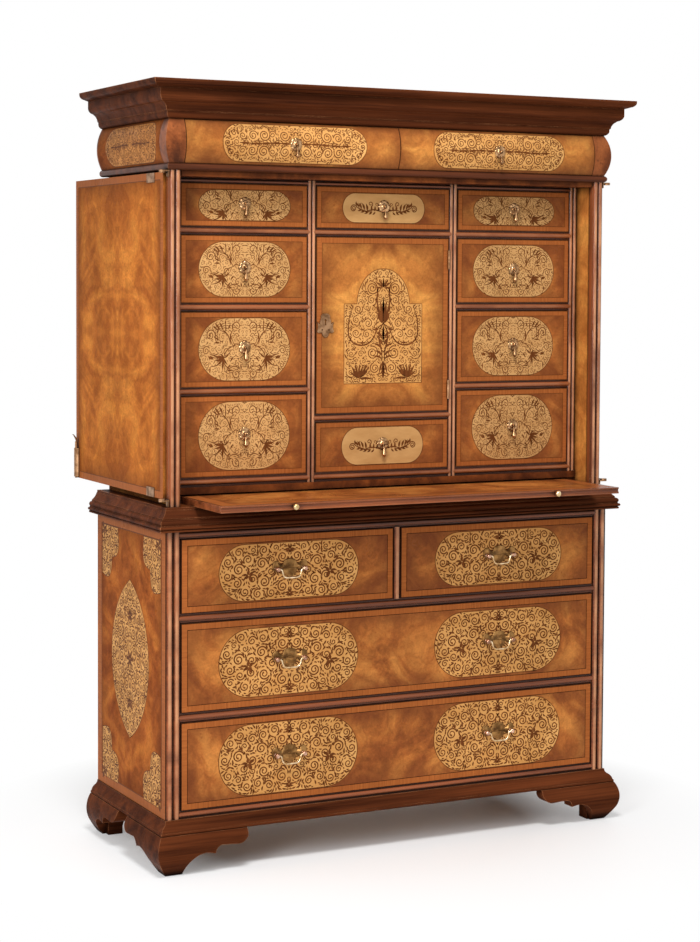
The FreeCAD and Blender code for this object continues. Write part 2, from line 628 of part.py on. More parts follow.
# Drawers of the nest, each with its drop pull
nest_drawer_places = {}
for number, (low, high) in enumerate(side_levels):
    right = (upright_out + SIDE_GAP, outer_upright_in - SIDE_GAP, low, high)
    nest_drawer_places["nest_drawer_right_%d" % (number + 1)] = right
    nest_drawer_places["nest_drawer_left_%d" % (number + 1)] = (-right[1], -right[0], low, high)
centre_ends = (SIDE_GAP - upright_in, upright_in - SIDE_GAP)
nest_drawer_places["nest_drawer_centre_low"] = centre_ends + centre_low_levels
nest_drawer_places["nest_drawer_centre_top"] = centre_ends + side_levels[3]
DROP_RISE = 4.0
for name, (x0, x1, low, high) in nest_drawer_places.items():
    middle = (x0 + x1) / 2
    pull_z = (low + high) / 2 + DROP_RISE
    boards = flat_drawer(x0, x1, nest_y, low, high, NEST_DRAWER)
    write(name, boards + [rosette(middle, nest_y, pull_z)])
    write(name.replace("_drawer", "_drop"), [drop(middle, nest_y, pull_z)])

# Cupboard door, hung at its right edge on two butt hinges
CUPBOARD_DOOR = 18.0
CUPBOARD_HINGE_GAP = 1.8
BUTT_RADIUS = 2.5
BUTT_PIN = 1.2
BUTT_LEAF = 0.8
BUTT_LEAF_DEPTH = 14.0
BUTT_HEIGHT = 42.0
BUTT_SHARES = (0.0, 0.33, 0.67, 1.0)
BUTT_FROM_END = 48.0
ESCUTCHEON_PLACE = 22.0
ESCUTCHEON_HALF_WIDTH = 20.5
ESCUTCHEON_HALF_HEIGHT = 26.0
ESCUTCHEON_THICKNESS = 1.6
KEYHOLE_RISE = 11.5
KEYHOLE_RADIUS = 2.6
KEYHOLE_SLOT = 1.5
KEYHOLE_LENGTH = 10.5
PIERCING_RADIUS = 1.8
PIERCING_PLACE = 8.2
PIERCING_DROP = 9.5
ESCUTCHEON_SHARES = [(0.0, -1.0), (0.34, -0.78, 0.22, -0.93), (0.56, -0.58, 0.42, -0.64), (1.0, -0.5, 0.8, -0.62),
                     (0.98, 0.3, 0.88, -0.1), (0.66, 0.12, 0.8, 0.17), (0.52, 0.62, 0.64, 0.38),
                     (0.56, 0.76, 0.5, 0.69), (0.0, 1.0, 0.38, 0.95)]
cup_left = SIDE_GAP - upright_in
cup_right = upright_in - CUPBOARD_HINGE_GAP
cup_low, cup_high = cupboard_levels
escutcheon_x = cup_left + ESCUTCHEON_PLACE
escutcheon_z = (cup_low + cup_high) / 2


def bored(radius, across, up, y0, y1):
    """A round hole through the escutcheon, at a place counted from the plate's middle."""
    start = Vector(escutcheon_x + across, y0, escutcheon_z + up)
    return Part.makeCylinder(radius, y1 - y0, start, Vector(0, 1, 0))


def piercings(y0, y1):
    """The keyhole, a round hole with a slot below it, and a round hole each side of the plate's foot."""
    keyhole_z = escutcheon_z + KEYHOLE_RISE
    slot = box(escutcheon_x - KEYHOLE_SLOT, escutcheon_x + KEYHOLE_SLOT, y0, y1, keyhole_z - KEYHOLE_LENGTH,
               keyhole_z)
    keyhole = bored(KEYHOLE_RADIUS, 0, KEYHOLE_RISE, y0, y1).fuse(slot)
    sides = [bored(PIERCING_RADIUS, side * PIERCING_PLACE, -PIERCING_DROP, y0, y1) for side in (-1, 1)]
    return [keyhole] + sides


cupboard_panel = box(cup_left, cup_right, nest_y, nest_y + CUPBOARD_DOOR, cup_low, cup_high)
write("cupboard_door", [cupboard_panel])
right_half = sized(ESCUTCHEON_SHARES, ESCUTCHEON_HALF_WIDTH, ESCUTCHEON_HALF_HEIGHT)
plate_outline = [(escutcheon_x, escutcheon_z + right_half[0][1])]
for step in right_half[1:]:
    plate_outline.append((escutcheon_x + step[0], escutcheon_z + step[1], escutcheon_x + step[2],
                          escutcheon_z + step[3]))
for number in range(len(right_half) - 1, 0, -1):
    end = right_half[number - 1]
    through = right_half[number]
    plate_outline.append((escutcheon_x - end[0], escutcheon_z + end[1], escutcheon_x - through[2],
                          escutcheon_z + through[3]))
escutcheon = along_y(plate_outline, nest_y - ESCUTCHEON_THICKNESS, nest_y).cut(
    piercings(nest_y - OVERRUN, nest_y + OVERRUN)).Solids[0]

butt_x = cup_right + BUTT_PIN - BUTT_LEAF + PIN_CLEARANCE
butt_y = nest_y - BUTT_RADIUS
door_leaves = []
case_leaves = []
for middle in (cup_low + BUTT_FROM_END, cup_high - BUTT_FROM_END):
    low = middle - BUTT_HEIGHT / 2
    levels = [low + share * BUTT_HEIGHT for share in BUTT_SHARES]
    pin = along_z(shifted(corners(BUTT_PIN), butt_x, butt_y), low, low + BUTT_HEIGHT)
    knuckle = along_z(shifted(corners(BUTT_RADIUS), butt_x, butt_y), levels[1] + REST_GAP, levels[2] - REST_GAP)
    leaf = box(cup_right, cup_right + BUTT_LEAF, butt_y, nest_y + BUTT_LEAF_DEPTH, levels[1] + REST_GAP,
               levels[2] - REST_GAP)
    bore = along_z(shifted(bore_corners(BUTT_PIN + PIN_CLEARANCE), butt_x, butt_y), low, low + BUTT_HEIGHT)
    door_leaves.append(knuckle.fuse(leaf).cut(bore).Solids[0])
    case_part = pin
    for base, top in ((levels[0], levels[1]), (levels[2], levels[3])):
        case_part = case_part.fuse(along_z(shifted(corners(BUTT_RADIUS), butt_x, butt_y), base, top))
        link = box(butt_x, upright_in, butt_y, butt_y + BUTT_LEAF, base, top)
        plate = box(upright_in - BUTT_LEAF, upright_in, butt_y, nest_y + BUTT_LEAF_DEPTH, base, top)
        case_part = case_part.fuse([link, plate])
    case_leaves.append(case_part.Solids[0])
write("cupboard_fittings", [escutcheon] + door_leaves)

# Big doors, folded right back along the sides, on offset knife hinges
pivot_x = cab_half + PIVOT_OUT
pivot_y = cab_stile_y + PIVOT_BACK
door_in_x = pivot_x - PIVOT_FROM_DOOR
door_out_x = door_in_x - DOOR_THICKNESS
door_edge_y = pivot_y + PIVOT_FROM_EDGE
door_width = pivot_x - PIVOT_FROM_EDGE - DOOR_MEETING_GAP / 2
door_free_y = door_edge_y + door_width
door_high = roof_top - BRACKET_PLATE - REST_GAP
door_low = slide_top + DOOR_LIFT


def hinge_arm(z0, z1, leaf_z0, leaf_z1):
    """The arm let into the door's edge: an eye at the pivot, a neck, a strip and a leaf on the inner face."""
    edge = door_edge_y
    eye = along_z(shifted(corners(ARM_EYE), pivot_x, pivot_y), z0, z1)
    strip_in = door_in_x - ARM_LEAF
    strip = box(strip_in - ARM_WIDTH, strip_in, edge, edge + ARM_END, z0, z1)
    neck = along_z([(pivot_x + ARM_NECK / 2, pivot_y + ARM_NECK / 2), (door_in_x - ARM_LEAF / 2, edge),
                    (door_in_x - ARM_NECK, edge), (pivot_x - ARM_NECK / 2, pivot_y - ARM_NECK / 2)], z0, z1)
    foot = box(strip_in, door_in_x + ARM_LEAF, edge + ARM_START, edge + ARM_END, z0, z1)
    leaf = box(door_in_x, door_in_x + ARM_LEAF, edge + ARM_START, edge + ARM_END, leaf_z0, leaf_z1)
    bore = along_z(shifted(bore_corners(PIVOT_PIN + PIN_CLEARANCE), pivot_x, pivot_y), z0 - OVERRUN,
                   z1 + OVERRUN)
    return eye.fuse([neck, strip, foot, leaf]).cut(bore).removeSplitter().Solids[0]


arms = [hinge_arm(door_low, door_low + ARM_THICKNESS, door_low, door_low + ARM_LEAF_HEIGHT),
        hinge_arm(door_high - ARM_THICKNESS, door_high, door_high - ARM_LEAF_HEIGHT, door_high)]
door = box(door_out_x, door_in_x, door_edge_y, door_free_y, door_low, door_high)
for arm in arms:
    door = door.cut(arm)
right_door = door.Solids[0]
write("right_door", [right_door])
write("left_door", [mirrored(right_door)])
write("right_door_hinges", arms)
write("left_door_hinges", [mirrored(arm) for arm in arms])


def case_arm(z0, z1, plate_z0, plate_z1, pin_z0, pin_z1):
    """The fixed half: a plate on the stile's outer face, an arm out to the pivot and its pin."""
    plate = box(cab_half, cab_half + BRACKET_THICKNESS, pivot_y - BRACKET_FRONT, pivot_y + ARM_EYE, plate_z0,
                plate_z1)
    reach = box(cab_half, pivot_x, pivot_y - ARM_NECK, pivot_y + ARM_NECK, z0, z1)
    eye = along_z(shifted(corners(ARM_EYE), pivot_x, pivot_y), z0, z1)
    pin = along_z(shifted(corners(PIVOT_PIN), pivot_x, pivot_y), pin_z0, pin_z1)
    return plate.fuse([reach, eye, pin]).removeSplitter().Solids[0]


low_arm_top = door_low - REST_GAP
high_arm_low = door_high + REST_GAP
case_arms = [case_arm(low_arm_top - BRACKET_PLATE, low_arm_top, waist_top, low_arm_top, low_arm_top,
                      door_low + ARM_THICKNESS),
             case_arm(high_arm_low, roof_top, roof_top - BRACKET_HEIGHT, roof_top, door_high - ARM_THICKNESS,
                      high_arm_low)]
write("case_hinge_plates", case_arms + [mirrored(arm) for arm in case_arms] + case_leaves)

# Brass bolt on the inner face of the left door: a half-round case, and a rod with a curved thumb piece
BOLT_CASE_HEIGHT = 66.0
BOLT_CASE_HALF = 9.0
BOLT_CASE_REACH = 9.5
BOLT_ROD = 3.0
BOLT_GAP = 0.3
BOLT_FROM_EDGE = 12.0
BOLT_RISE = 3.0
BOLT_THUMB_HEIGHT = 22.0
BOLT_THUMB_REACH = 9.0
BOLT_THUMB_WIDTH = 5.0
BOLT_BASE = 1.5
BOLT_TRAVEL = 10.0
bolt_y = door_free_y - BOLT_FROM_EDGE
bolt_low = door_low + BOLT_RISE
bolt_high = bolt_low + BOLT_CASE_HEIGHT
bolt_x = -door_in_x - BOLT_CASE_REACH / 2
bolt_section = [(-door_in_x, bolt_y - BOLT_CASE_HALF), (-door_in_x, bolt_y + BOLT_CASE_HALF),
                (-door_in_x - BOLT_BASE, bolt_y + BOLT_CASE_HALF),
                (-door_in_x - BOLT_BASE, bolt_y - BOLT_CASE_HALF, -door_in_x - BOLT_CASE_REACH, bolt_y)]
bolt_case = along_z(bolt_section, bolt_low, bolt_high)
bolt_bore = Part.makeCylinder(BOLT_ROD + BOLT_GAP, BOLT_CASE_HEIGHT, Vector(bolt_x, bolt_y, bolt_low))
write("door_bolt_case", [bolt_case.cut(bolt_bore).Solids[0]])
thumb_low = bolt_high + BOLT_TRAVEL + REST_GAP
rod = Part.makeCylinder(BOLT_ROD, thumb_low + BOLT_THUMB_WIDTH - door_low, Vector(bolt_x, bolt_y, door_low))
thumb_outline = [(bolt_x, thumb_low), (bolt_x - BOLT_THUMB_REACH, thumb_low + BOLT_THUMB_HEIGHT,
                                       bolt_x - BOLT_THUMB_REACH / 4, thumb_low + BOLT_THUMB_HEIGHT / 2),
                 (bolt_x - BOLT_THUMB_REACH + BOLT_ROD / 2, thumb_low + BOLT_THUMB_HEIGHT),
                 (bolt_x + BOLT_ROD, thumb_low, bolt_x - BOLT_THUMB_REACH / 4 + BOLT_ROD,
                  thumb_low + BOLT_THUMB_HEIGHT / 2)]
thumb = along_y(thumb_outline, bolt_y - BOLT_THUMB_WIDTH / 2, bolt_y + BOLT_THUMB_WIDTH / 2)
write("door_bolt_rod", [rod.fuse(thumb).Solids[0]])

# Writing slide, drawn out until its knobs stand as far before the middle as the doors stand behind it
slide_front = KNOB_REACH - door_free_y
slide_half = outer_upright_in - SIDE_GAP / 2
lip_low = slide_low + SLIDE_LIP
lip_high = slide_top - SLIDE_LIP
slide_section = [(slide_front, slide_low), (slide_front + SLIDE_DEPTH, slide_low),
                 (slide_front + SLIDE_DEPTH, slide_top), (slide_front, slide_top),
                 (slide_front, lip_high),
                 (slide_front, lip_low, slide_front + SLIDE_GROOVE, (lip_low + lip_high) / 2)]
slide_board = along_x(slide_section, -slide_half, slide_half)
write("writing_slide", [slide_board])
knob_z = (slide_low + slide_top) / 2
knob_outline = [(KNOB_STEM, -SLIDE_GROOVE), (KNOB_STEM, 0)]
knob_outline = knob_outline + [(KNOB_RADIUS * wide, KNOB_REACH * out) for wide, out in KNOB_SHARES]
knobs = []
for place in (-KNOB_PLACE, KNOB_PLACE):
    knob = turned(knob_outline, lambda a, b, h: Vector(place + a, slide_front - h, knob_z + b))
    knobs.append(knob.cut(slide_board).Solids[0])
write("slide_knobs", knobs)

# Frieze: a nosed floor, cushion-shaped sides, corner blocks, and two cushion-fronted drawers
nosing_outline = [(0.0, 0.0), (0.0, FRIEZE_FLOOR, FRIEZE_NOSING, FRIEZE_FLOOR / 2)]
frieze_floor = box(-cab_half, cab_half, cab_front, back, roof_top, frieze_low)
nosing = surround(nosing_outline, roof_top, cab_half, cab_front, back, FRIEZE_NOSING, FRIEZE_NOSING)


def cushion(start, inner, z0, z1, sign):
    """A section whose outer edge swells as one arc between its foot and its head."""
    middle = (z0 + z1) / 2
    return [(start + sign * inner, z0), (start - sign * FRIEZE_FOOT, z0),
            (start, z1, start - sign * FRIEZE_BULGE, middle), (start + sign * inner, z1)]


frieze_side = along_y(cushion(cab_half, FRIEZE_SIDE, frieze_low, frieze_top, -1), cab_front - OVERRUN, back)
front_cushion = along_x(cushion(cab_front, CASE_DEPTH, frieze_low, frieze_top, 1), cab_half - OVERRUN,
                        cab_half + OVERRUN)
frieze_side = frieze_side.common(front_cushion).Solids[0]
block_in = cab_half - FRIEZE_BLOCK
frieze_block = along_x(cushion(cab_front, FRIEZE_BLOCK, frieze_low, frieze_top, 1), block_in,
                       cab_half - FRIEZE_SIDE)
frieze_divider = box(-DIVIDER_WIDTH / 2, DIVIDER_WIDTH / 2, cab_front + FRIEZE_BLOCK, back_board_y, frieze_low,
                     frieze_top)
frieze_back = box(-cab_half + FRIEZE_SIDE, cab_half - FRIEZE_SIDE, back_board_y, back, frieze_low, frieze_top)
frieze_lid = box(-cab_half + FRIEZE_SIDE, cab_half - FRIEZE_SIDE, cab_front + FRIEZE_SIDE, back, frieze_top,
                 frieze_top + FRIEZE_TOP)
write("frieze_case", [frieze_floor, frieze_side, mirrored(frieze_side), frieze_block, mirrored(frieze_block),
                      frieze_divider, frieze_back, frieze_lid] + nosing)

frieze_drawer_low = frieze_low + REST_GAP
frieze_drawer_high = frieze_top - SIDE_GAP
frieze_x0 = SIDE_GAP / 2
frieze_x1 = block_in - SIDE_GAP
box_x0 = DIVIDER_WIDTH / 2 + SIDE_GAP
frieze_front = along_x(cushion(cab_front, FRIEZE_DRAWER["front_board"], frieze_low, frieze_top, 1), frieze_x0,
                       frieze_x1)
frieze_front = frieze_front.common(box(frieze_x0, frieze_x1, front - OVERRUN, back, frieze_drawer_low,
                                       frieze_drawer_high)).Solids[0]
frieze_boards = drawer_boards(box_x0, frieze_x1, cab_front, frieze_drawer_low, frieze_drawer_high,
                              FRIEZE_DRAWER, frieze_front)
frieze_pull_x = (frieze_x0 + frieze_x1) / 2
frieze_pull_z = (frieze_low + frieze_top) / 2
frieze_pull_y = cab_front - FRIEZE_BULGE + ROSETTE_THICKNESS / 2
for name, side in (("frieze_drawer_left", -1), ("frieze_drawer_right", 1)):
    boards = [mirrored(board) if side < 0 else board for board in frieze_boards]
    plate = rosette(side * frieze_pull_x, frieze_pull_y, frieze_pull_z).cut(boards[0]).Solids[0]
    write(name, boards + [plate])
    write(name.replace("_drawer", "_drop"), [drop(side * frieze_pull_x, frieze_pull_y, frieze_pull_z)])

# Cornice: a quarter round, a hollow, a swelling, a fascia and a thick rounded top member in one length, mitred at
# the front corners, with a board let in behind it
CORNICE_SHARES = [(0.0, 0.0), (0.03, 0.0), (0.17, 0.15, 0.13, 0.05), (0.17, 0.18), (0.21, 0.2),
                  (0.37, 0.39, 0.26, 0.31), (0.4, 0.41), (0.62, 0.6, 0.57, 0.48), (0.62, 0.77), (0.84, 0.82),
                  (1.0, 0.95, 0.95, 0.865), (1.0, 1.0)]
cornice_outline = sized(CORNICE_SHARES, CORNICE_REACH, CORNICE_HEIGHT) + [
    (-FRIEZE_SIDE, CORNICE_HEIGHT), (-FRIEZE_SIDE, 0.0)]
write("cornice", surround(cornice_outline, frieze_top, cab_half, cab_front, back, CORNICE_REACH, FRIEZE_SIDE))
write("cornice_top_board", [box(-cab_half + FRIEZE_SIDE, cab_half - FRIEZE_SIDE, cab_front + FRIEZE_SIDE, back,
                                cornice_top - CORNICE_TOP_BOARD, cornice_top)])
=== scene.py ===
import bpy
import numpy as np
from mathutils import Matrix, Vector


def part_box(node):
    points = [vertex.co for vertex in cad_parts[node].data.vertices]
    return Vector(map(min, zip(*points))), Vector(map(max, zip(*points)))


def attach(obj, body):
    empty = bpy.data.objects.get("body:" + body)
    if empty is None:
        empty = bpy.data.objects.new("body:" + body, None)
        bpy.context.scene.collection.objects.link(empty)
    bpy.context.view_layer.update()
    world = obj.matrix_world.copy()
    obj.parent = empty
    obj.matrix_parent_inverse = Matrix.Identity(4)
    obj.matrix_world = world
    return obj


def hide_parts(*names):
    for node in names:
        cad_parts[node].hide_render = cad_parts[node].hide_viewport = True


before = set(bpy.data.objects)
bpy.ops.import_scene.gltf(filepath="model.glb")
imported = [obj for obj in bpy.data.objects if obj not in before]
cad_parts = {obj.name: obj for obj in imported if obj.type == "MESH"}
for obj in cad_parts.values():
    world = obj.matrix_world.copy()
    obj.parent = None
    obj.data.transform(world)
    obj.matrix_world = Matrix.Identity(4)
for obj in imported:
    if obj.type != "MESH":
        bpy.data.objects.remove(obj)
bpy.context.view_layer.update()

# Bracket feet and base moulding of the chest
# Walnut, cut with the grain running round the case and stained nearly black, glued and blocked under it.
# Two hundred years of dusting have left the edges brown with wear and dirt in the hollows; the edges are
# painted lighter, for that wear and for highlights, and the hollows darker, for that dirt and for the shade
# that falls in them.
MM = 0.001


def linear(red, green, blue):
    """A colour written as display values from 0 to 255, turned into light values by its power curve."""
    share = np.array([red, green, blue]) / 255.0
    light = np.where(share <= 0.04045, share / 12.92, ((share + 0.055) / 1.055) ** 2.4)
    return (float(light[0]), float(light[1]), float(light[2]), 1.0)


def fill(tree, node, inputs):
    """Links each input of a node to a socket, or gives it a value."""
    for name, value in inputs.items():
        if isinstance(value, bpy.types.NodeSocket):
            tree.links.new(value, node.inputs[name])
        else:
            node.inputs[name].default_value = value
    return node


def add(tree, kind, settings, inputs):
    """One shader node, with its settings and its inputs."""
    node = tree.nodes.new(kind)
    for name, value in settings.items():
        setattr(node, name, value)
    return fill(tree, node, inputs)


def blended(tree, share, first, second):
    """The colour between two colours, by a share from 0 to 1."""
    return add(tree, "ShaderNodeMix", {"data_type": "RGBA"}, {0: share, 6: first, 7: second}).outputs[2]


def scaled(tree, colour, share):
    """The colour made lighter or darker by a share."""
    return add(tree, "ShaderNodeVectorMath", {"operation": "SCALE"}, {0: colour, "Scale": share}).outputs[0]


def spread(tree, value, low, high, first=0.0, last=1.0):
    """A value run from one range to another along a straight line, held at both ends."""
    inputs = {"Value": value, "From Min": low, "From Max": high, "To Min": first, "To Max": last}
    return add(tree, "ShaderNodeMapRange", {}, inputs).outputs[0]


def sums(tree, way, first, second):
    """One sum on two values."""
    return add(tree, "ShaderNodeMath", {"operation": way}, {0: first, 1: second}).outputs[0]


def cloud(tree, vector, scale, detail=4.0, rough=0.55, twist=0.0):
    """Soft random patches from 0 to 1, scale of them to the metre."""
    inputs = {"Vector": vector, "Scale": scale, "Detail": detail, "Roughness": rough, "Distortion": twist}
    return add(tree, "ShaderNodeTexNoise", {}, inputs).outputs[0]


def stretched(tree, vector, scale, turn=(0.0, 0.0, 0.0)):
    """The vector turned, then scaled, so that patches on it grow long along one axis."""
    return add(tree, "ShaderNodeMapping", {}, {"Vector": vector, "Scale": scale, "Rotation": turn}).outputs[0]


def effect(name, inputs, outputs):
    """A shader node group with named sockets: (label, kind, value) going in and (label, kind) coming out.
    It gives back the group, the values that it takes in, and the node that takes its results."""
    tree = bpy.data.node_groups.new(name, "ShaderNodeTree")
    for label, kind, value in inputs:
        socket = tree.interface.new_socket(name=label, in_out="INPUT", socket_type="NodeSocket" + kind)
        if value is not None:
            socket.default_value = value
    for label, kind in outputs:
        tree.interface.new_socket(name=label, in_out="OUTPUT", socket_type="NodeSocket" + kind)
    return tree, tree.nodes.new("NodeGroupInput").outputs, tree.nodes.new("NodeGroupOutput")


def placed(tree, group, inputs):
    """The effect as a node in a material, with this material's own values."""
    return add(tree, "ShaderNodeGroup", {"node_tree": group}, inputs).outputs


# Long fibres with darker streaks between them, and short open pores along the grain, which runs along X
grain, taken, result = effect("long_grain", [
    ("Vector", "Vector", None), ("Light", "Color", linear(150, 90, 45)),
    ("Dark", "Color", linear(60, 30, 15))],
    [("Color", "Color"), ("Height", "Float")])
streaks = cloud(grain, stretched(grain, taken["Vector"], (1.3, 30.0, 30.0)), 1.0, 7.0, 0.6, 0.6)
lines = cloud(grain, stretched(grain, taken["Vector"], (7.0, 320.0, 320.0)), 1.0, 3.0)
fibres = spread(grain, sums(grain, "ADD", streaks, sums(grain, "MULTIPLY", lines, 0.35)), 0.48, 0.86)
pores = cloud(grain, stretched(grain, taken["Vector"], (30.0, 1500.0, 1500.0)), 1.0, 1.0)
fill(grain, result, {"Color": blended(grain, fibres, taken["Dark"], taken["Light"]),
                     "Height": spread(grain, pores, 0.3, 0.42)})

# Old shellac: corners are painted darker, for brown dirt and for the shade that falls in them, edges are
# painted lighter, for wear and for highlights, and the gloss comes and goes
polish, taken, result = effect("old_polish", [
    ("Color", "Color", linear(150, 90, 45)), ("Grime_And_Shade", "Color", linear(22, 10, 5)), ("Reach", "Float", 0.02),
    ("Wear_And_Highlight", "Color", linear(170, 110, 60)), ("Wear_And_Highlight_Share", "Float", 0.5), ("Gloss", "Float", 0.3)],
    [("Color", "Color"), ("Roughness", "Float")])
place = add(polish, "ShaderNodeTexCoord", {}, {}).outputs["Object"]
# Painted shade: where the surface is shut in, its colour goes over to the dark colour, for dirt and for the
# shade that falls in corners
shut_in = add(polish, "ShaderNodeAmbientOcclusion", {"samples": 6},
              {"Distance": taken["Reach"]}).outputs["AO"]
grime_and_shade = spread(polish, shut_in, 0.38, 0.92, 0.92, 0.0)
# Painted highlight: along bevelled edges the colour goes over to the light colour, for wear and for
# highlights
corner = add(polish, "ShaderNodeBevel", {"samples": 4}, {"Radius": 0.0018}).outputs[0]
straight = add(polish, "ShaderNodeNewGeometry", {}, {}).outputs["Normal"]
lean = add(polish, "ShaderNodeVectorMath", {"operation": "DOT_PRODUCT"},
           {0: corner, 1: straight}).outputs["Value"]
edge = sums(polish, "MULTIPLY", spread(polish, lean, 0.985, 0.8), spread(polish, shut_in, 0.55, 0.85))
patchy = sums(polish, "MULTIPLY", edge, spread(polish, cloud(polish, place, 24.0), 0.3, 0.6))
wear_and_highlight = blended(polish, sums(polish, "MULTIPLY", patchy, taken["Wear_And_Highlight_Share"]), taken["Color"], taken["Wear_And_Highlight"])
tone = spread(polish, cloud(polish, place, 3.1, 3.0), 0.3, 0.7, 0.84, 1.14)
toned = scaled(polish, wear_and_highlight, tone)
smear = spread(polish, cloud(polish, place, 16.0, 4.0), 0.3, 0.7, -0.05, 0.09)
rough = sums(polish, "ADD", sums(polish, "ADD", taken["Gloss"], smear), sums(polish, "MULTIPLY", grime_and_shade, 0.3))
fill(polish, result, {"Color": blended(polish, grime_and_shade, toned, taken["Grime_And_Shade"]), "Roughness": rough})


def surface(name, metal=0.0, shine=0.5, dents=0.0, dent_depth=0.0002):
    """A material with its main shader: its tree, its shader, its coordinates, and a bump if it has dents.
    Its shine is the strength of the mirror image in a non-metal, where 0.5 is a fresh coat of varnish."""
    material = bpy.data.materials.new(name)
    material.use_nodes = True
    tree = material.node_tree
    shader = next(node for node in tree.nodes if node.type == "BSDF_PRINCIPLED")
    fill(tree, shader, {"Metallic": metal, "Specular IOR Level": shine})
    bump = None
    if dents:
        bump = add(tree, "ShaderNodeBump", {}, {"Strength": dents, "Distance": dent_depth})
        fill(tree, shader, {"Normal": bump.outputs[0]})
    return material, tree, shader, add(tree, "ShaderNodeTexCoord", {}, {}).outputs, bump


def finished(tree, shader, bump, finish, height):
    """Gives a shader the colour and the roughness of its finish, and its bump a height."""
    fill(tree, shader, {"Base Color": finish["Color"], "Roughness": finish["Roughness"]})
    fill(tree, bump, {"Height": height})


QUARTER_TURN = np.pi / 2
GRAIN_TURN = {"x": (0.0, 0.0, 0.0), "y": (0.0, 0.0, QUARTER_TURN), "z": (0.0, QUARTER_TURN, 0.0)}


def wood(name, along, light, dark, grime_and_shade, wear_and_highlight, wear_and_highlight_share, gloss, shine):
    """A plain solid wood whose grain runs along one axis, under old polish."""
    material, tree, shader, coordinates, bump = surface(name, shine=shine, dents=0.35)
    vector = stretched(tree, coordinates["Object"], (1.0, 1.0, 1.0), GRAIN_TURN[along])
    fibre = placed(tree, grain, {"Vector": vector, "Light": light, "Dark": dark})
    values = {"Color": fibre["Color"], "Grime_And_Shade": grime_and_shade, "Wear_And_Highlight": wear_and_highlight, "Wear_And_Highlight_Share": wear_and_highlight_share, "Gloss": gloss}
    finished(tree, shader, bump, placed(tree, polish, values), fibre["Height"])
    return material


def dress(material, *names):
    """Gives a material to pieces that keep their own shape."""
    for name in names:
        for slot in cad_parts[name].material_slots:
            slot.material = material


DARK_WALNUT = dict(light=linear(98, 50, 26), dark=linear(48, 22, 12), grime_and_shade=linear(14, 6, 4),
                   wear_and_highlight=linear(178, 118, 78), wear_and_highlight_share=0.95, gloss=0.28, shine=0.008)
stained_walnut = wood("stained_walnut", "x", **DARK_WALNUT)
dress(stained_walnut, "bracket_feet", "base_moulding", "waist_moulding", "cornice")

# Chest case: sides, front frame, and the boards inside
# Pine boards veneered in walnut where they show. The stiles and rails carry half-round beads, and the
# boards inside and behind are left plain.
BARE_PINE = dict(light=linear(186, 140, 88), dark=linear(128, 86, 48), grime_and_shade=linear(50, 30, 18),
                 wear_and_highlight=linear(200, 160, 110), wear_and_highlight_share=0.2, gloss=0.55, shine=0.1)
pine_across = wood("bare_pine_across", "x", **BARE_PINE)
dress(pine_across, "chest_boards", "cornice_top_board")
pine_upright = wood("bare_pine_upright", "z", **BARE_PINE)
dress(pine_upright, "back_boards")
BEAD_WALNUT = dict(light=linear(146, 78, 42), dark=linear(88, 44, 24), grime_and_shade=linear(14, 6, 4),
                   wear_and_highlight=linear(200, 140, 98), wear_and_highlight_share=0.5, gloss=0.12, shine=0.3)
# Painted highlight on the beads' crests: it fades in from this far behind the foremost point to this far, in
# this colour
CREST_HIGHLIGHT_DEPTH = (0.0015, 0.0004)
CREST_HIGHLIGHT = linear(192, 134, 94)
dress(wood("bead_walnut", "x", **BEAD_WALNUT), "writing_slide")


def beaded(piece, along, pale):
    """Walnut of a beaded piece. Its half-round beads stand foremost, and a painted highlight lies pale along
    their crests, in patches.
    """
    material = wood(piece + "_walnut", along, **BEAD_WALNUT)
    tree = material.node_tree
    shader = next(node for node in tree.nodes if node.type == "BSDF_PRINCIPLED")
    place = add(tree, "ShaderNodeTexCoord", {}, {}).outputs["Object"]
    depth = add(tree, "ShaderNodeSeparateXYZ", {}, {0: place}).outputs["Y"]
    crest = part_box(piece)[0].y
    # Painted highlight: pale on the crest of every bead
    crown = spread(tree, depth, crest + CREST_HIGHLIGHT_DEPTH[0], crest + CREST_HIGHLIGHT_DEPTH[1])
    crest_highlight = sums(tree, "MULTIPLY", crown, spread(tree, cloud(tree, place, 13.0, 3.0), 0.34, 0.6, 0.2, 0.95))
    own = shader.inputs["Base Color"].links[0].from_socket
    tree.links.new(blended(tree, crest_highlight, own, pale), shader.inputs["Base Color"])
    dress(material, piece)


# Every beaded piece gets the painted highlight on its crests, the shelves' beads a dimmer one
beaded("chest_front_frame", "x", CREST_HIGHLIGHT)
beaded("cabinet_stiles", "z", CREST_HIGHLIGHT)
beaded("nest_uprights", "z", CREST_HIGHLIGHT)
beaded("nest_shelves", "x", linear(146, 88, 52))

# Figured walnut: drifting clouds of light and dark, small mottles, and groups of dark burr eyes
burr, taken, result = effect("burr_figure", [
    ("Vector", "Vector", None), ("Light", "Color", linear(206, 146, 78)),
    ("Middle", "Color", linear(176, 112, 52)), ("Dark", "Color", linear(112, 62, 28)),
    ("Eyes", "Float", 0.7)],
    [("Color", "Color"), ("Height", "Float")])
drift = cloud(burr, taken["Vector"], 7.0, 5.0, 0.6, 1.6)
mottle = cloud(burr, stretched(burr, taken["Vector"], (1.0, 1.0, 0.55)), 42.0, 4.0, 0.6, 1.2)
flecks = cloud(burr, taken["Vector"], 230.0, 2.0)
base = blended(burr, spread(burr, drift, 0.36, 0.52), taken["Dark"], taken["Middle"])
base = blended(burr, spread(burr, drift, 0.5, 0.66), base, taken["Light"])
base = scaled(burr, base, spread(burr, mottle, 0.34, 0.68, 0.78, 1.13))
base = scaled(burr, base, spread(burr, flecks, 0.36, 0.6, 0.9, 1.05))
cells = add(burr, "ShaderNodeTexVoronoi", {}, {"Vector": taken["Vector"], "Scale": 95.0}).outputs["Distance"]
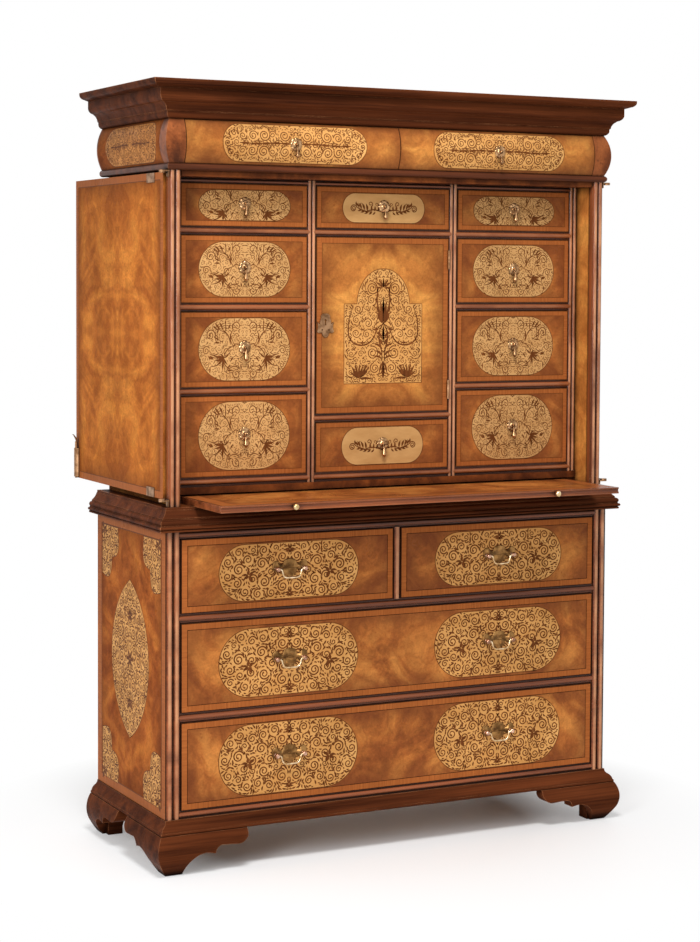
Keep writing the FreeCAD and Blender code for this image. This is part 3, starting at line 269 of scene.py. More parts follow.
grouped = spread(burr, cloud(burr, taken["Vector"], 9.0, 2.0), 0.54, 0.62)
eyes = sums(burr, "MULTIPLY", sums(burr, "MULTIPLY", spread(burr, cells, 0.3, 0.12), grouped), taken["Eyes"])
fill(burr, result, {"Color": blended(burr, eyes, base, taken["Dark"]),
                    "Height": sums(burr, "SUBTRACT", mottle, sums(burr, "MULTIPLY", eyes, 0.4))})

GOLDEN = dict(Light=linear(204, 138, 66), Middle=linear(184, 116, 54), Dark=linear(154, 90, 40))
BROWN = dict(Light=linear(192, 122, 58), Middle=linear(168, 98, 44), Dark=linear(134, 72, 32))
TAN = dict(Light=linear(180, 106, 46), Middle=linear(158, 86, 37), Dark=linear(126, 63, 27))
VENEER_GRIME_AND_SHADE = linear(34, 15, 7)


def figured(name, colours, own_map=False, shine=0.1):
    """Figured veneer under old polish. A laid leaf's figure follows its own map and darkens at its rim."""
    material, tree, shader, coordinates, bump = surface(name, shine=shine, dents=0.2)
    vector = coordinates["UV" if own_map else "Object"]
    leaf = placed(tree, burr, {"Vector": vector, **colours})
    shade = leaf["Color"]
    if own_map:
        rim = add(tree, "ShaderNodeAttribute", {"attribute_name": "rim"}, {}).outputs["Fac"]
        drift = spread(tree, cloud(tree, vector, 11.0, 3.0), 0.3, 0.7, -0.012, 0.012)
        scorched = spread(tree, sums(tree, "ADD", rim, drift), 0.0, 0.042, 0.62, 0.0)
        shade = blended(tree, scorched, shade, linear(98, 48, 22))
    values = {"Color": shade, "Grime_And_Shade": VENEER_GRIME_AND_SHADE, "Wear_And_Highlight": colours["Light"], "Wear_And_Highlight_Share": 0.3}
    finished(tree, shader, bump, placed(tree, polish, values), leaf["Height"])
    return material


dress(figured("case_veneer", TAN, shine=0.005), "chest_sides")
dress(figured("cabinet_side_veneer", GOLDEN, shine=0.005), "cabinet_sides")
# Painted shade: the cabinet's boards, seen under the frieze and below the nest, get darker tones than the
# other veneers
PAINTED_SHADE_TONES = dict(Light=linear(124, 66, 30), Middle=linear(98, 50, 24), Dark=linear(70, 34, 17))
dress(figured("board_veneer", PAINTED_SHADE_TONES, shine=0.05), "cabinet_boards")

# Marquetry on the chest's sides, and the leaves of veneer that every front is laid with
# Sawn leaves a millimetre thick, glued down and scraped flush: a figured field, a cross-cut band with dark
# stringing round it, and panels of pale holly let in, with scrolling seaweed sawn from dark walnut.
LEAF_RISE = 0.05
BAND_RISE = 0.07
LINE_RISE = 0.1
GROUND_RISE = 0.13
SCROLL_RISE = 0.19
SCROLL_STEP = 0.008
SUNK = -0.1
PANEL_LINE = 0.8
THIN_LINE = 0.7
# A rim this wide, in metres, is past the darkening at a leaf's edge
NO_RIM = 0.03


def facing(centre, across, up, out):
    """A flat place to lay leaves on: a point across, up and out in millimetres goes to centre plus each
    direction times its share."""
    origin = np.array(centre, float)
    axes = np.array([across, up, out], float)
    return lambda u, v, h: origin + np.stack(np.broadcast_arrays(u, v, h), -1) @ axes


def net(points, shut_across=False):
    """Faces of a grid of points, one four-sided face between each two neighbours along both ways of the
    grid, and round again from the last column to the first where it is shut."""
    rows, columns = points.shape[:2]
    number = np.arange(rows * columns).reshape(rows, columns)
    if shut_across:
        number = np.concatenate([number, number[:, :1]], 1)
    return np.stack([number[:-1, :-1], number[:-1, 1:], number[1:, 1:], number[1:, :-1]], -1).reshape(-1, 4)


def circle(angle):
    """Points on a circle that is one wide from its middle, at these angles."""
    return np.stack([np.cos(angle), np.sin(angle)], -1)


def lay(name, body, material, parts, smooth=False):
    """One mesh from many parts: each part is (points in millimetres, blocks of faces, map in metres, rim in
    metres), joined end to end, with every face's numbers moved on by the points before it."""
    own = [part[0].reshape(-1, 3) for part in parts]
    points = np.concatenate(own) * MM
    starts = np.cumsum([0] + [len(block) for block in own[:-1]])
    faces = [face for part, start in zip(parts, starts)
             for block in part[1] for face in (block + start).tolist()]
    mesh = bpy.data.meshes.new(name)
    mesh.from_pydata(points.tolist(), [], faces)
    corners = np.empty(len(mesh.loops), np.int32)
    mesh.loops.foreach_get("vertex_index", corners)
    flat_map = np.concatenate([np.asarray(part[2]).reshape(-1, 2) for part in parts])
    mesh.uv_layers.new(name="veneer").data.foreach_set("uv", flat_map[corners].ravel())
    rim = np.concatenate([np.broadcast_to(part[3], len(block)) for part, block in zip(parts, own)])
    mesh.attributes.new("rim", "FLOAT", "POINT").data.foreach_set("value", rim.astype(np.float32))
    mesh.polygons.foreach_set("use_smooth", np.full(len(mesh.polygons), smooth))
    mesh.materials.append(material)
    piece = bpy.data.objects.new(name, mesh)
    bpy.context.scene.collection.objects.link(piece)
    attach(piece, body)
    return piece


def veneer(name, body, material, parts):
    """One mesh of sawn leaves."""
    lay(name, body, material, parts)


def grid_leaf(at, u, v, shift, fold=False):
    """A leaf over a grid: its points are every u with every v, its map the same lengths in metres, folded
    at the middle where leaves are book-matched in pairs or quarters, and its rim the distance to the
    nearest edge."""
    across, up = np.meshgrid(u, v)
    mapped = np.stack([across, up], -1)
    if fold:
        mapped[..., 0] = np.abs(across - u.mean())
    if fold == "quarter":
        mapped[..., 1] = np.abs(up - v.mean())
    edge = np.minimum(np.minimum(across - u.min(), u.max() - across), np.minimum(up - v.min(), v.max() - up))
    points = at(across, up, LEAF_RISE)
    return points, [net(points)], mapped * MM + np.array(shift), edge.ravel() * MM


def band(at, x0, x1, z0, z1, width, rise, steps=12, shift=0.0):
    """A mitred band inside a rectangle: each of its four strips runs between the outer and the inner edge,
    with the strip's length as the first number of its map."""
    outer = np.array([(x0, z0), (x1, z0), (x1, z1), (x0, z1)], float)
    inner = outer + np.array([(width, width), (-width, width), (-width, -width), (width, -width)])
    parts = []
    along = np.linspace(0.0, 1.0, steps + 1)[None, :, None]
    inward = np.linspace(0.0, 1.0, 3)[:, None, None]
    for side in range(4):
        after = (side + 1) % 4
        low = outer[side] + (outer[after] - outer[side]) * along
        high = inner[side] + (inner[after] - inner[side]) * along
        flat = low + (high - low) * inward
        way = outer[after] - outer[side]
        run = (flat - outer[side]) @ (way / np.linalg.norm(way))
        points = at(flat[..., 0], flat[..., 1], rise)
        depth = np.broadcast_to(inward[..., 0] * width, run.shape)
        mapped = np.stack([run * MM + shift + side * 0.37, depth * MM], -1)
        parts.append((points, [net(points)], mapped, 0.0))
    return parts


def stadium(half_width, half_height, round_share=1.0, steps=28):
    """The right-hand edge of a panel with flat top and bottom and round ends, from bottom to top: half
    ellipses as wide as round_share of the half height."""
    angle = np.linspace(-np.pi / 2, np.pi / 2, steps)
    bow = half_height * round_share
    return np.stack([half_width - bow + bow * np.cos(angle), half_height * np.sin(angle)], -1)


def vesica(half_width, half_height, steps=28):
    """The right-hand edge of a pointed oval: one arc through both points and the widest place."""
    radius = (half_width ** 2 + half_height ** 2) / (2 * half_width)
    reach = np.arcsin(half_height / radius)
    angle = np.linspace(-reach, reach, steps)
    return np.stack([half_width - radius + radius * np.cos(angle), radius * np.sin(angle)], -1)


def outline_of(edge):
    """The whole outline of a panel that is alike on both sides, from its right-hand edge."""
    left = edge[::-1] * (-1, 1)
    return np.concatenate([edge, left[np.abs(left[:, 0]) > 1e-6]])


def ground(at, edge):
    """The pale leaf of a panel: rows from its left to its right edge, with a rim sunk below."""
    flat = np.stack([edge * (-1, 1), edge * (0, 1), edge], 1)
    points = at(flat[..., 0], flat[..., 1], GROUND_RISE)
    outline = outline_of(edge)
    wall = np.stack([outline, outline])
    rim = at(wall[..., 0], wall[..., 1], np.array([SUNK, GROUND_RISE])[:, None])
    return [(points, [net(points)], flat * MM, NO_RIM), (rim, [net(rim, True)], wall * MM, NO_RIM)]


def ribbons(at, paths, halves):
    """Thin sawn lines: along each path, points stand half a width to both sides of it, square to its run,
    and a strip of three faces goes round them, with its foot sunk. Each line lies a hair higher than the
    one before."""
    count, stations = halves.shape
    run = np.gradient(paths, axis=1)
    run = run / np.maximum(np.linalg.norm(run, axis=-1, keepdims=True), 1e-9)
    side = np.stack([-run[..., 1], run[..., 0]], -1) * halves[..., None]
    flat = np.stack([paths + side, paths + side, paths - side, paths - side], 2)
    top = SCROLL_RISE + SCROLL_STEP * (np.arange(count) % 12)
    levels = np.stack([np.full(count, SUNK), top, top, np.full(count, SUNK)], -1)[:, None, :]
    points = at(flat[..., 0], flat[..., 1], np.broadcast_to(levels, flat.shape[:3]))
    number = np.arange(count * stations * 4).reshape(count, stations, 4)
    faces = np.stack([number[:, :-1, :-1], number[:, 1:, :-1], number[:, 1:, 1:], number[:, :-1, 1:]], -1)
    shown = (halves[:, :-1] > 0) | (halves[:, 1:] > 0)
    return points, [faces[shown].reshape(-1, 4)], flat.reshape(-1, 2) * MM, NO_RIM


def volutes(centres, radii, starts, hands, turns, width=1.0, stations=26):
    """Scrolls that wind in to a round eye: the radius shrinks from full to a fifth while the angle grows by
    the turns, and the line thins towards the eye, which swells again."""
    t = np.linspace(0.0, 1.0, stations)
    angle = starts[:, None] + hands[:, None] * 2 * np.pi * np.reshape(turns, (-1, 1)) * t
    reach = radii[:, None] * (1.0 - 0.8 * t ** 0.85)
    paths = centres[:, None, :] + reach[..., None] * circle(angle)
    swell = np.exp(-((t - 0.95) / 0.06) ** 2)
    size = np.clip(radii, 4.0, 14.0)[:, None] / 10.0
    halves = width * size ** 0.5 * (0.95 - 0.4 * t) + width * size * 0.8 * swell
    halves[:, -1] = 0.15 * width
    return paths, halves


def blades(roots, angles, lengths, bends, width=1.6, stations=12):
    """Leaves: each curls from its root along a circle by its bend, and its width swells at a third of its
    length and dies away to a point."""
    t = np.linspace(0.0, 1.0, stations)
    angle = angles[:, None] + bends[:, None] * t
    step = lengths[:, None] / (stations - 1)
    run = circle(angle) * step[..., None]
    paths = roots[:, None, :] + np.cumsum(run, 1) - run
    shape = 0.2 * (1.0 - t) + np.sin(np.pi * np.clip(t, 0.02, 0.99) ** 0.9) ** 1.3
    return paths, np.maximum(width * (lengths[:, None] / 14.0) ** 0.5 * shape, 0.08)


def stems(starts, ends, bows, width=0.8, stations=14):
    """Stalks: from start to end, bowed to one side by a share of their length, and thin at both ends."""
    t = np.linspace(0.0, 1.0, stations)[None, :, None]
    run = ends - starts
    out = np.stack([-run[:, 1], run[:, 0]], -1) * bows[:, None]
    paths = starts[:, None, :] + run[:, None, :] * t + out[:, None, :] * np.sin(np.pi * t)
    return paths, width * np.broadcast_to(0.55 + 0.45 * np.sin(np.pi * t[..., 0]), paths.shape[:2])


def edge_room(points, outline):
    """How far each point lies inside a closed outline: the distance to the nearest of its sides, negative
    where a line to the right crosses the outline an even number of times."""
    start = outline[None]
    run = (np.roll(outline, -1, 0) - outline)[None]
    offset = points[:, None] - start
    share = np.clip((offset * run).sum(-1) / np.maximum((run ** 2).sum(-1), 1e-9), 0.0, 1.0)
    near = np.linalg.norm(offset - share[..., None] * run, axis=-1).min(1)
    after = np.roll(outline, -1, 0)
    spans = (start[..., 1] > points[:, None, 1]) != (after[None, :, 1] > points[:, None, 1])
    rise = np.where(np.abs(run[..., 1]) < 1e-9, 1e-9, run[..., 1])
    meets = start[..., 0] + (points[:, None, 1] - start[..., 1]) / rise * run[..., 0] > points[:, None, 0]
    return np.where((spans & meets).sum(1) % 2 == 1, near, -near)


SCROLL_GAP = 4.4
SCROLL_PLACES = 5200
SCATTER_SHARES = np.array((0.7548776662, 0.5698402910))
LEAF_SPACING = (7.6, 4.0)
LEAF_LENGTH = 10.2
LEAF_CLEAR = 1.6
MOTIF_CLEAR = 3.2
KNOT_CLEAR = 0.75
MIRROR_CLEAR = (1.6, 1.4)


def both_sides(lines):
    """Lines together with their mirror image."""
    return lines + [(paths * (-1, 1), halves) for paths, halves in lines]


def scattered(outline, half_only):
    """Places spread evenly over a panel's rectangle, or over its right half: each next one a fixed share of
    the width and of the height on, begun again at the edge."""
    low, high = outline.min(0), outline.max(0)
    if half_only:
        low = np.array([0.0, low[1]])
    return low + np.arange(1, SCROLL_PLACES)[:, None] * SCATTER_SHARES % 1.0 * (high - low)


def apart(places, lines):
    """How far each place is from the nearest point of any line's path."""
    points = np.concatenate([paths.reshape(-1, 2) for paths, halves in lines])
    return np.linalg.norm(places[:, None] - points[None], axis=-1).min(1)


def packed(outline, first, radii, margin, gap, half_only=True, motif=()):
    """Circles that fill a panel: of the scattered places, each next circle takes the one where it fits most
    snugly between the rim, the motif and the circles already there, large ones first."""
    places = scattered(outline, half_only)
    room = edge_room(places, outline) - margin
    if motif:
        room = np.minimum(room, apart(places, motif) - gap)
    if half_only:
        room = np.minimum(room, places[:, 0] - MIRROR_CLEAR[0])
    kept = [tuple(scroll) for scroll in first]
    for x, y, radius in kept:
        room = np.minimum(room, np.hypot(places[:, 0] - x, places[:, 1] - y) - radius - gap)
    for radius in radii:
        while True:
            spare = np.where(room >= radius, room - radius, np.inf)
            best = int(np.argmin(spare))
            if not np.isfinite(spare[best]):
                break
            x, y = places[best]
            kept.append((float(x), float(y), radius))
            room = np.minimum(room, np.hypot(places[:, 0] - x, places[:, 1] - y) - radius - gap)
    return np.array(kept)


def swept(places, centres, sizes, hands):
    """The way the work runs at each place: round all the scrolls, each counting less with its distance, and
    a little outward. It also gives how fast a leaf there curls, and how far off the nearest scroll is."""
    offset = places[:, None] - centres[None]
    far = np.maximum(np.linalg.norm(offset, axis=-1), 0.01)
    square = np.stack([-offset[..., 1], offset[..., 0]], -1) * hands[None, :, None]
    weight = (np.exp(-2.2 * far / sizes[None]) / far)[..., None]
    way = (weight * (square + 0.45 * offset)).sum(1)
    near = (far - sizes[None]).argmin(1)
    reach = far[np.arange(len(places)), near]
    return np.arctan2(way[:, 1], way[:, 0]), hands[near] / np.maximum(reach, 6.0), reach - sizes[near]


def thinned(places, along, scale):
    """Every place that is clear of all kept before it: outside an oval about each, long the way its leaf
    runs."""
    free = np.ones(len(places), bool)
    kept = []
    for index in range(len(places)):
        if free[index]:
            kept.append(index)
            offset = places - places[index]
            run = offset @ along[index]
            aside = offset[:, 1] * along[index, 0] - offset[:, 0] * along[index, 1]
            free &= np.hypot(run / LEAF_SPACING[0], aside / LEAF_SPACING[1]) >= scale
    return np.array(kept)


def seaweed(outline, first, radii, margin=3.2, width=1.5, half_only=True, knots=(), scale=1.0, motif=()):
    """Scrolling work over a panel. In each packed circle a volute starts where the circle faces its nearest
    larger neighbour and turns the other way to it, leaves that curl round the volutes fill all the ground
    between, clear of the motif, and a dark knot of leaves stands at each knot. Half a panel is drawn, and
    its mirror image added."""
    circles = packed(outline, first, radii, margin, SCROLL_GAP * scale, half_only, motif)
    centres, sizes = circles[:, :2], circles[:, 2]
    gaps = np.linalg.norm(centres[:, None] - centres[None], axis=-1) - sizes[:, None] - sizes[None]
    earlier = np.tril(np.ones_like(gaps), -1) > 0
    parent = np.where(earlier, gaps, np.inf).argmin(1)
    parent[0] = 0
    hands = np.ones(len(circles))
    for number in range(1, len(circles)):
        hands[number] = -hands[parent[number]]
    toward = centres[parent] - centres
    toward[0] = (-1.0, 0.0)
    starts = np.arctan2(toward[:, 1], toward[:, 0])
    lines = [volutes(centres, sizes, starts, hands, 0.7 + sizes / (13.0 * scale), width)]
    places = scattered(outline, half_only)
    angles, curls, spare = swept(places, centres, sizes, hands)
    fits = (edge_room(places, outline) > margin) & (spare > LEAF_CLEAR * scale)
    if motif:
        fits &= apart(places, motif) > MOTIF_CLEAR * scale
    if half_only:
        fits &= places[:, 0] > MIRROR_CLEAR[1]
    for x, y, reach, count in knots:
        fits &= np.hypot(places[:, 0] - x, places[:, 1] - y) > reach * KNOT_CLEAR
    places, angles, curls = places[fits], angles[fits], curls[fits]
    along = circle(angles)
    kept = thinned(places, along, scale)
    roots = places[kept] - along[kept] * LEAF_LENGTH * scale * 0.5
    bends = curls[kept] * LEAF_LENGTH * scale
    lengths = LEAF_LENGTH * scale * (0.85 + 0.3 * np.sin(kept * 2.4))
    lines.append(blades(roots, angles[kept] - bends * 0.5, lengths, bends * 1.5, width * 1.3, 7))
    for x, y, reach, count in knots:
        spokes = np.arange(count) * 2 * np.pi / count + 0.3
        lengths = reach * (0.75 + 0.25 * np.cos(3 * spokes))
        roots = np.array([(x, y)]) + circle(spokes) * reach * 0.08
        lines.append(blades(roots, spokes, lengths, np.where(np.arange(count) % 2, 0.9, -0.9), width * 1.3))
    if half_only:
        lines = both_sides(lines)
    return lines


def seaweed_leaves(at, lines, outline, line_half=PANEL_LINE):
    """All dark leaves of a panel: the scrolls and the line round its edge."""
    ring = np.concatenate([outline, outline[:2]])[None]
    parts = [ribbons(at, paths, halves) for paths, halves in lines]
    parts.append(ribbons(at, ring, np.full(ring.shape[:2], line_half)))
    return parts


def leaf_material(name, light, dark, bands=120.0, across=(1.0, 0.02, 1.0)):
    """A plain-cut leaf whose streaks follow its own map, under old polish."""
    material, tree, shader, coordinates, bump = surface(name, shine=0.02, dents=0.15)
    streaks = cloud(tree, stretched(tree, coordinates["UV"], across), bands, 5.0, 0.65)
    tint = cloud(tree, coordinates["UV"], 14.0, 3.0)
    shade = blended(tree, spread(tree, streaks, 0.34, 0.66), dark, light)
    shade = blended(tree, spread(tree, tint, 0.4, 0.7, 0.0, 0.45), shade, dark)
    values = {"Color": shade, "Grime_And_Shade": VENEER_GRIME_AND_SHADE, "Reach": 0.012, "Wear_And_Highlight": light, "Wear_And_Highlight_Share": 0.25}
    finished(tree, shader, bump, placed(tree, polish, values), streaks)
    return material


HOLLY_STREAKS = (26.0, (0.35, 1.0, 1.0))
field_leaf = figured("field_leaf", BROWN, own_map=True)
bright_leaf = figured("bright_leaf", GOLDEN, own_map=True)
side_leaf = figured("side_leaf", TAN, own_map=True, shine=0.005)
band_leaf = leaf_material("band_leaf", linear(170, 98, 48), linear(136, 74, 36), 210.0)
line_leaf = leaf_material("line_leaf", linear(64, 30, 15), linear(34, 16, 9))
holly_leaf = leaf_material("holly_leaf", linear(214, 160, 96), linear(188, 132, 72), *HOLLY_STREAKS)
pale_holly = leaf_material("pale_holly", linear(204, 158, 102), linear(180, 132, 80), *HOLLY_STREAKS)
# Painted shade: a darker copy of the holly, for the frieze's sides under the cornice
side_holly = leaf_material("side_holly", linear(200, 138, 76), linear(174, 112, 56), *HOLLY_STREAKS)
dark_leaf = leaf_material("dark_leaf", linear(120, 68, 33), linear(80, 43, 21))


def corner_fan(width, height):
    """A quarter panel in a corner: straight sides along the corner, and an edge of two bows that meet in a
    cusp. Its points run from the end of the upright side to the end of the level side, and back to the
    corner."""
    t = np.linspace(0.0, 1.0, 13)[:, None]
    ends = np.array([(0.0, height), (width * 0.62, height * 0.62), (width, 0.0)])
    first = ends[0] + (ends[1] - ends[0]) * t + np.array([(0.16 * width, 0.2 * height)]) * np.sin(np.pi * t)
    second = ends[1] + (ends[2] - ends[1]) * t + np.array([(0.2 * width, 0.16 * height)]) * np.sin(np.pi * t)
    return np.concatenate([first, second[1:], [(0.0, 0.0)]])


def oval_leaves(at, size, first, radii, knots):
    """The pale and the dark leaves of a pointed oval."""
    edge = vesica(*size)
    oval = outline_of(edge)
    return ground(at, edge), seaweed_leaves(at, seaweed(oval, first, radii, knots=knots), oval)


def fan_leaves(at, size, first, radii, knot, mirrored):
    """The pale and the dark leaves of a corner fan. Where its place is mirrored, its face is listed
    backwards."""
    fan = corner_fan(*size)
    order = np.arange(len(fan))
    face = order[::-1] if mirrored else order
    work = seaweed(fan, [first], radii, half_only=False, knots=(knot,))
    points = at(fan[:, 0], fan[:, 1], GROUND_RISE)
    return [(points, [face[None]], fan * MM, NO_RIM)], seaweed_leaves(at, work, fan)


SIDE_BAND = 20.0
SIDE_EDGE = 27.0
SIDE_LINE = 2.2
SIDE_OVAL = (111.0, 174.0)
SIDE_OVAL_MIDDLE = (210.0, 427.0)
SIDE_OVAL_CIRCLES = [(20, 58, 14), (20, -58, 14), (50, 0, 15)]
SIDE_OVAL_KNOTS = [(0.0, 96.0, 18.0, 9), (0.0, -96.0, 18.0, 9), (0.0, 0.0, 24.0, 12)]
SIDE_FAN = (96.0, 110.0)
SIDE_FRONT = 31.0
SIDE_BACK = 380.0
SIDE_TOP = 706.0
SIDE_BOTTOM = 136.0
SIDE_FOOT_IN = 8.0
SIDE_HEAD_IN = 4.0
CASE_FRONT = -206.0

for side, name in ((-1, "left"), (1, "right")):
    face_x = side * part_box("chest_sides")[1].x / MM
    middle_y = CASE_FRONT + SIDE_OVAL_MIDDLE[0]
    at = facing((face_x, middle_y, SIDE_OVAL_MIDDLE[1]), (0, side, 0), (0, 0, 1), (side, 0, 0))
    left = CASE_FRONT + SIDE_FRONT - SIDE_EDGE - middle_y
    right = CASE_FRONT + SIDE_BACK + SIDE_EDGE - middle_y
    x0, x1 = (left, right) if side > 0 else (-right, -left)
    z0 = SIDE_BOTTOM - SIDE_EDGE + SIDE_FOOT_IN - SIDE_OVAL_MIDDLE[1]
    z1 = SIDE_TOP + SIDE_EDGE - SIDE_HEAD_IN - SIDE_OVAL_MIDDLE[1]
    inner = (x0 + SIDE_BAND, x1 - SIDE_BAND, z0 + SIDE_BAND, z1 - SIDE_BAND)
    field = grid_leaf(at, np.linspace(*inner[:2], 21), np.linspace(*inner[2:], 31), (0.7 + side, 0.3))
    veneer("side_field_" + name, "root", side_leaf, [field])
    veneer("side_band_" + name, "root", band_leaf, band(at, x0, x1, z0, z1, SIDE_BAND, BAND_RISE))
    grounds, darks = oval_leaves(at, SIDE_OVAL, SIDE_OVAL_CIRCLES, (11, 9, 7.4), SIDE_OVAL_KNOTS)
    for bottom, up in ((SIDE_BOTTOM, 1), (SIDE_TOP, -1)):
        for start, across in ((SIDE_FRONT, 1), (SIDE_BACK, -1)):
            corner_at = facing((face_x, CASE_FRONT + start, bottom), (0, across, 0), (0, 0, up), (side, 0, 0))
            pale, dark = fan_leaves(corner_at, SIDE_FAN, (34, 38, 14), (10, 8, 6.4), (12.0, 12.0, 24.0, 9),
                                    across * up * side < 0)
            grounds, darks = grounds + pale, darks + dark
    veneer("side_holly_" + name, "root", holly_leaf, grounds)
    veneer("side_seaweed_" + name, "root", dark_leaf, darks + band(at, *inner, SIDE_LINE, LINE_RISE))

# Chest drawers
# Oak boards, dovetailed, with a pine front laid with leaves: a figured field, a reddish band, a dark line,
# and one or two panels of seaweed. Two brass posts go through each panel and hold the plate and the bail.
CHEST_FACE = -203.0
CHEST_BOARD = 20.0
FRONT_BAND = 14.0
EDGE_LINE = 1.3
# Width of the line of painted shade round each front's edge
RIM_SHADE_LINE = 1.7
PULL_PLACE = 262.5
PULL_RISE = 4.0
CHEST_PANEL = 166.0

# Cast and lacquered brass gone warm and brown: bright where hands reach it, and painted dark in every hollow,
# for tarnish and for the shade that falls there
brassy, taken, result = effect("handled_brass", [
    ("Vector", "Vector", None), ("Bright", "Color", linear(236, 202, 150)),
    ("Dull", "Color", linear(168, 128, 74)), ("Tarnish_And_Shade", "Color", linear(46, 28, 14)),
    ("Reach", "Float", 0.003), ("Gloss", "Float", 0.2)],
    [("Color", "Color"), ("Roughness", "Float"), ("Height", "Float")])
hidden = add(brassy, "ShaderNodeAmbientOcclusion", {"samples": 6}, {"Distance": taken["Reach"]}).outputs["AO"]
spots = cloud(brassy, taken["Vector"], 260.0, 3.0)
drifts = cloud(brassy, taken["Vector"], 70.0, 3.0)
tarnish = spread(brassy, drifts, 0.38, 0.62)
metal_tone = blended(brassy, tarnish, taken["Bright"], taken["Dull"])
rough = sums(brassy, "ADD", taken["Gloss"], spread(brassy, drifts, 0.3, 0.7, -0.05, 0.13))
# Painted shade: shut-in places go over to the dark colour, for tarnish and for shade
hollow = spread(brassy, hidden, 0.35, 0.85, 0.9, 0.0)
fill(brassy, result, {"Color": blended(brassy, hollow, metal_tone, taken["Tarnish_And_Shade"]), "Roughness": rough,
                      "Height": spots})


def cast_brass(name, bright, dull, gloss):
    """Old brass for one kind of fitting."""
    material, tree, shader, coordinates, bump = surface(name, metal=1.0, dents=0.1, dent_depth=0.0001)
    values = {"Vector": coordinates["Object"], "Bright": bright, "Dull": dull, "Gloss": gloss}
    skin = placed(tree, brassy, values)
    finished(tree, shader, bump, skin, skin["Height"])
    return material


PLATE_TONES = dict(bright=linear(172, 128, 76), dull=linear(116, 82, 46))
PULL_TONES = dict(bright=linear(208, 164, 118), dull=linear(128, 92, 58))
plate_brass = cast_brass("plate_brass", gloss=0.42, **PLATE_TONES)
bail_brass = cast_brass("bail_brass", linear(246, 222, 184), linear(196, 156, 104), 0.16)
post_brass = cast_brass("post_brass", linear(226, 182, 156), linear(142, 98, 74), 0.22)


def drawer_material(name, face_y, board, tones):
    """A drawer's own wood and metal, told apart by how far back a point lies: brass before the face, walnut
    on the edges of the front board, and bare oak behind it."""
    material, tree, shader, coordinates, bump = surface(name, shine=0.16, dents=0.3)
    place = coordinates["Object"]
    depth = add(tree, "ShaderNodeSeparateXYZ", {}, {0: place}).outputs["Y"]
    before = spread(tree, depth, (face_y - 0.1) * MM, (face_y - 0.3) * MM)
    behind = spread(tree, depth, (face_y + board - 0.3) * MM, (face_y + board) * MM)
    turned = stretched(tree, place, (1.0, 1.0, 1.0), GRAIN_TURN["y"])
    oak = placed(tree, grain, {"Vector": turned, "Light": linear(178, 134, 82), "Dark": linear(126, 86, 46)})
    edge = placed(tree, burr, {"Vector": place, **TAN})
    metal = placed(tree, brassy, {"Vector": place, "Bright": tones["bright"], "Dull": tones["dull"]})
    wooden = blended(tree, behind, edge["Color"], oak["Color"])
    finish = placed(tree, polish, {"Color": wooden, "Wear_And_Highlight_Share": 0.3, "Gloss": 0.4})
    rough = add(tree, "ShaderNodeMix", {},
                {0: before, 2: finish["Roughness"], 3: metal["Roughness"]}).outputs[0]
    fill(tree, shader, {"Base Color": blended(tree, before, finish["Color"], metal["Color"]),
                        "Roughness": rough, "Metallic": before})
    fill(tree, bump, {"Height": oak["Height"]})
    return material


def front(x, y, z):
    """A flat place that looks to the front, with its middle at a point."""
    return facing((x, y, z), (1, 0, 0), (0, 0, 1), (0, -1, 0))


def measured(name):
    """The two far corners of a piece's box, in millimetres."""
    low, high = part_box(name)
    return low / MM, high / MM


def front_leaves(name, at, x0, x1, z0, z1, width, shift, fold=False, field=field_leaf):
    """Lays the field and the band of one front, and gives back the dark lines on both sides of the band:
    stringing inside it, and painted shade as a line round the front's edge.
    """
    inner = (x0 + width, x1 - width, z0 + width, z1 - width)
    leaf = grid_leaf(at, np.linspace(*inner[:2], 29), np.linspace(*inner[2:], 21), (shift, shift * 0.6), fold)
    veneer(name + "_field", name, field, [leaf])
    veneer(name + "_band", name, band_leaf, band(at, x0, x1, z0, z1, width, BAND_RISE, shift=shift))
    return band(at, *inner, EDGE_LINE, LINE_RISE) + band(at, x0, x1, z0, z1, RIM_SHADE_LINE, LINE_RISE)


chest_material = drawer_material("chest_drawer_woods", CHEST_FACE, CHEST_BOARD, PLATE_TONES)
CHEST_FRONTS = {"short_drawer_left": ((-PULL_PLACE,), 61.0), "short_drawer_right": ((PULL_PLACE,), 61.0),
                "long_drawer_upper": ((-PULL_PLACE, PULL_PLACE), 74.0),
                "long_drawer_lower": ((-PULL_PLACE, PULL_PLACE), 77.0)}
for number, (name, (places, tall)) in enumerate(CHEST_FRONTS.items()):
    dress(chest_material, name)
    low, high = measured(name)
    at = front(0.0, CHEST_FACE, 0.0)
    darks = front_leaves(name, at, low.x, high.x, low.z, high.z, FRONT_BAND, 0.31 * (number + 1))
    edge = stadium(CHEST_PANEL, tall)
    shape = outline_of(edge)
    first = [(17.0, tall * 0.5, 13.0), (17.0, -tall * 0.55, 13.0), (120.0, 0.12 * tall, 14.0),
             (66.0, 0.3 * tall, 13.0), (60.0, -0.35 * tall, 13.0)]
    knots = ((97.0, -0.1 * tall, 19.0, 9), (0.0, 0.75 * tall, 13.0, 7), (0.0, -0.8 * tall, 13.0, 7))
    work = seaweed(shape, first, (11.0, 9.0, 7.4), knots=knots)
    grounds = []
    for place in places:
        panel_at = front(place, CHEST_FACE, (low.z + high.z) / 2)
        grounds = grounds + ground(panel_at, edge)
        hand = "" if len(places) == 1 else ("_left" if place < 0 else "_right")
        veneer(name + "_seaweed" + hand, name, dark_leaf, seaweed_leaves(panel_at, work, shape))
    veneer(name + "_holly", name, holly_leaf, grounds)
    veneer(name + "_lines", name, line_leaf, darks)


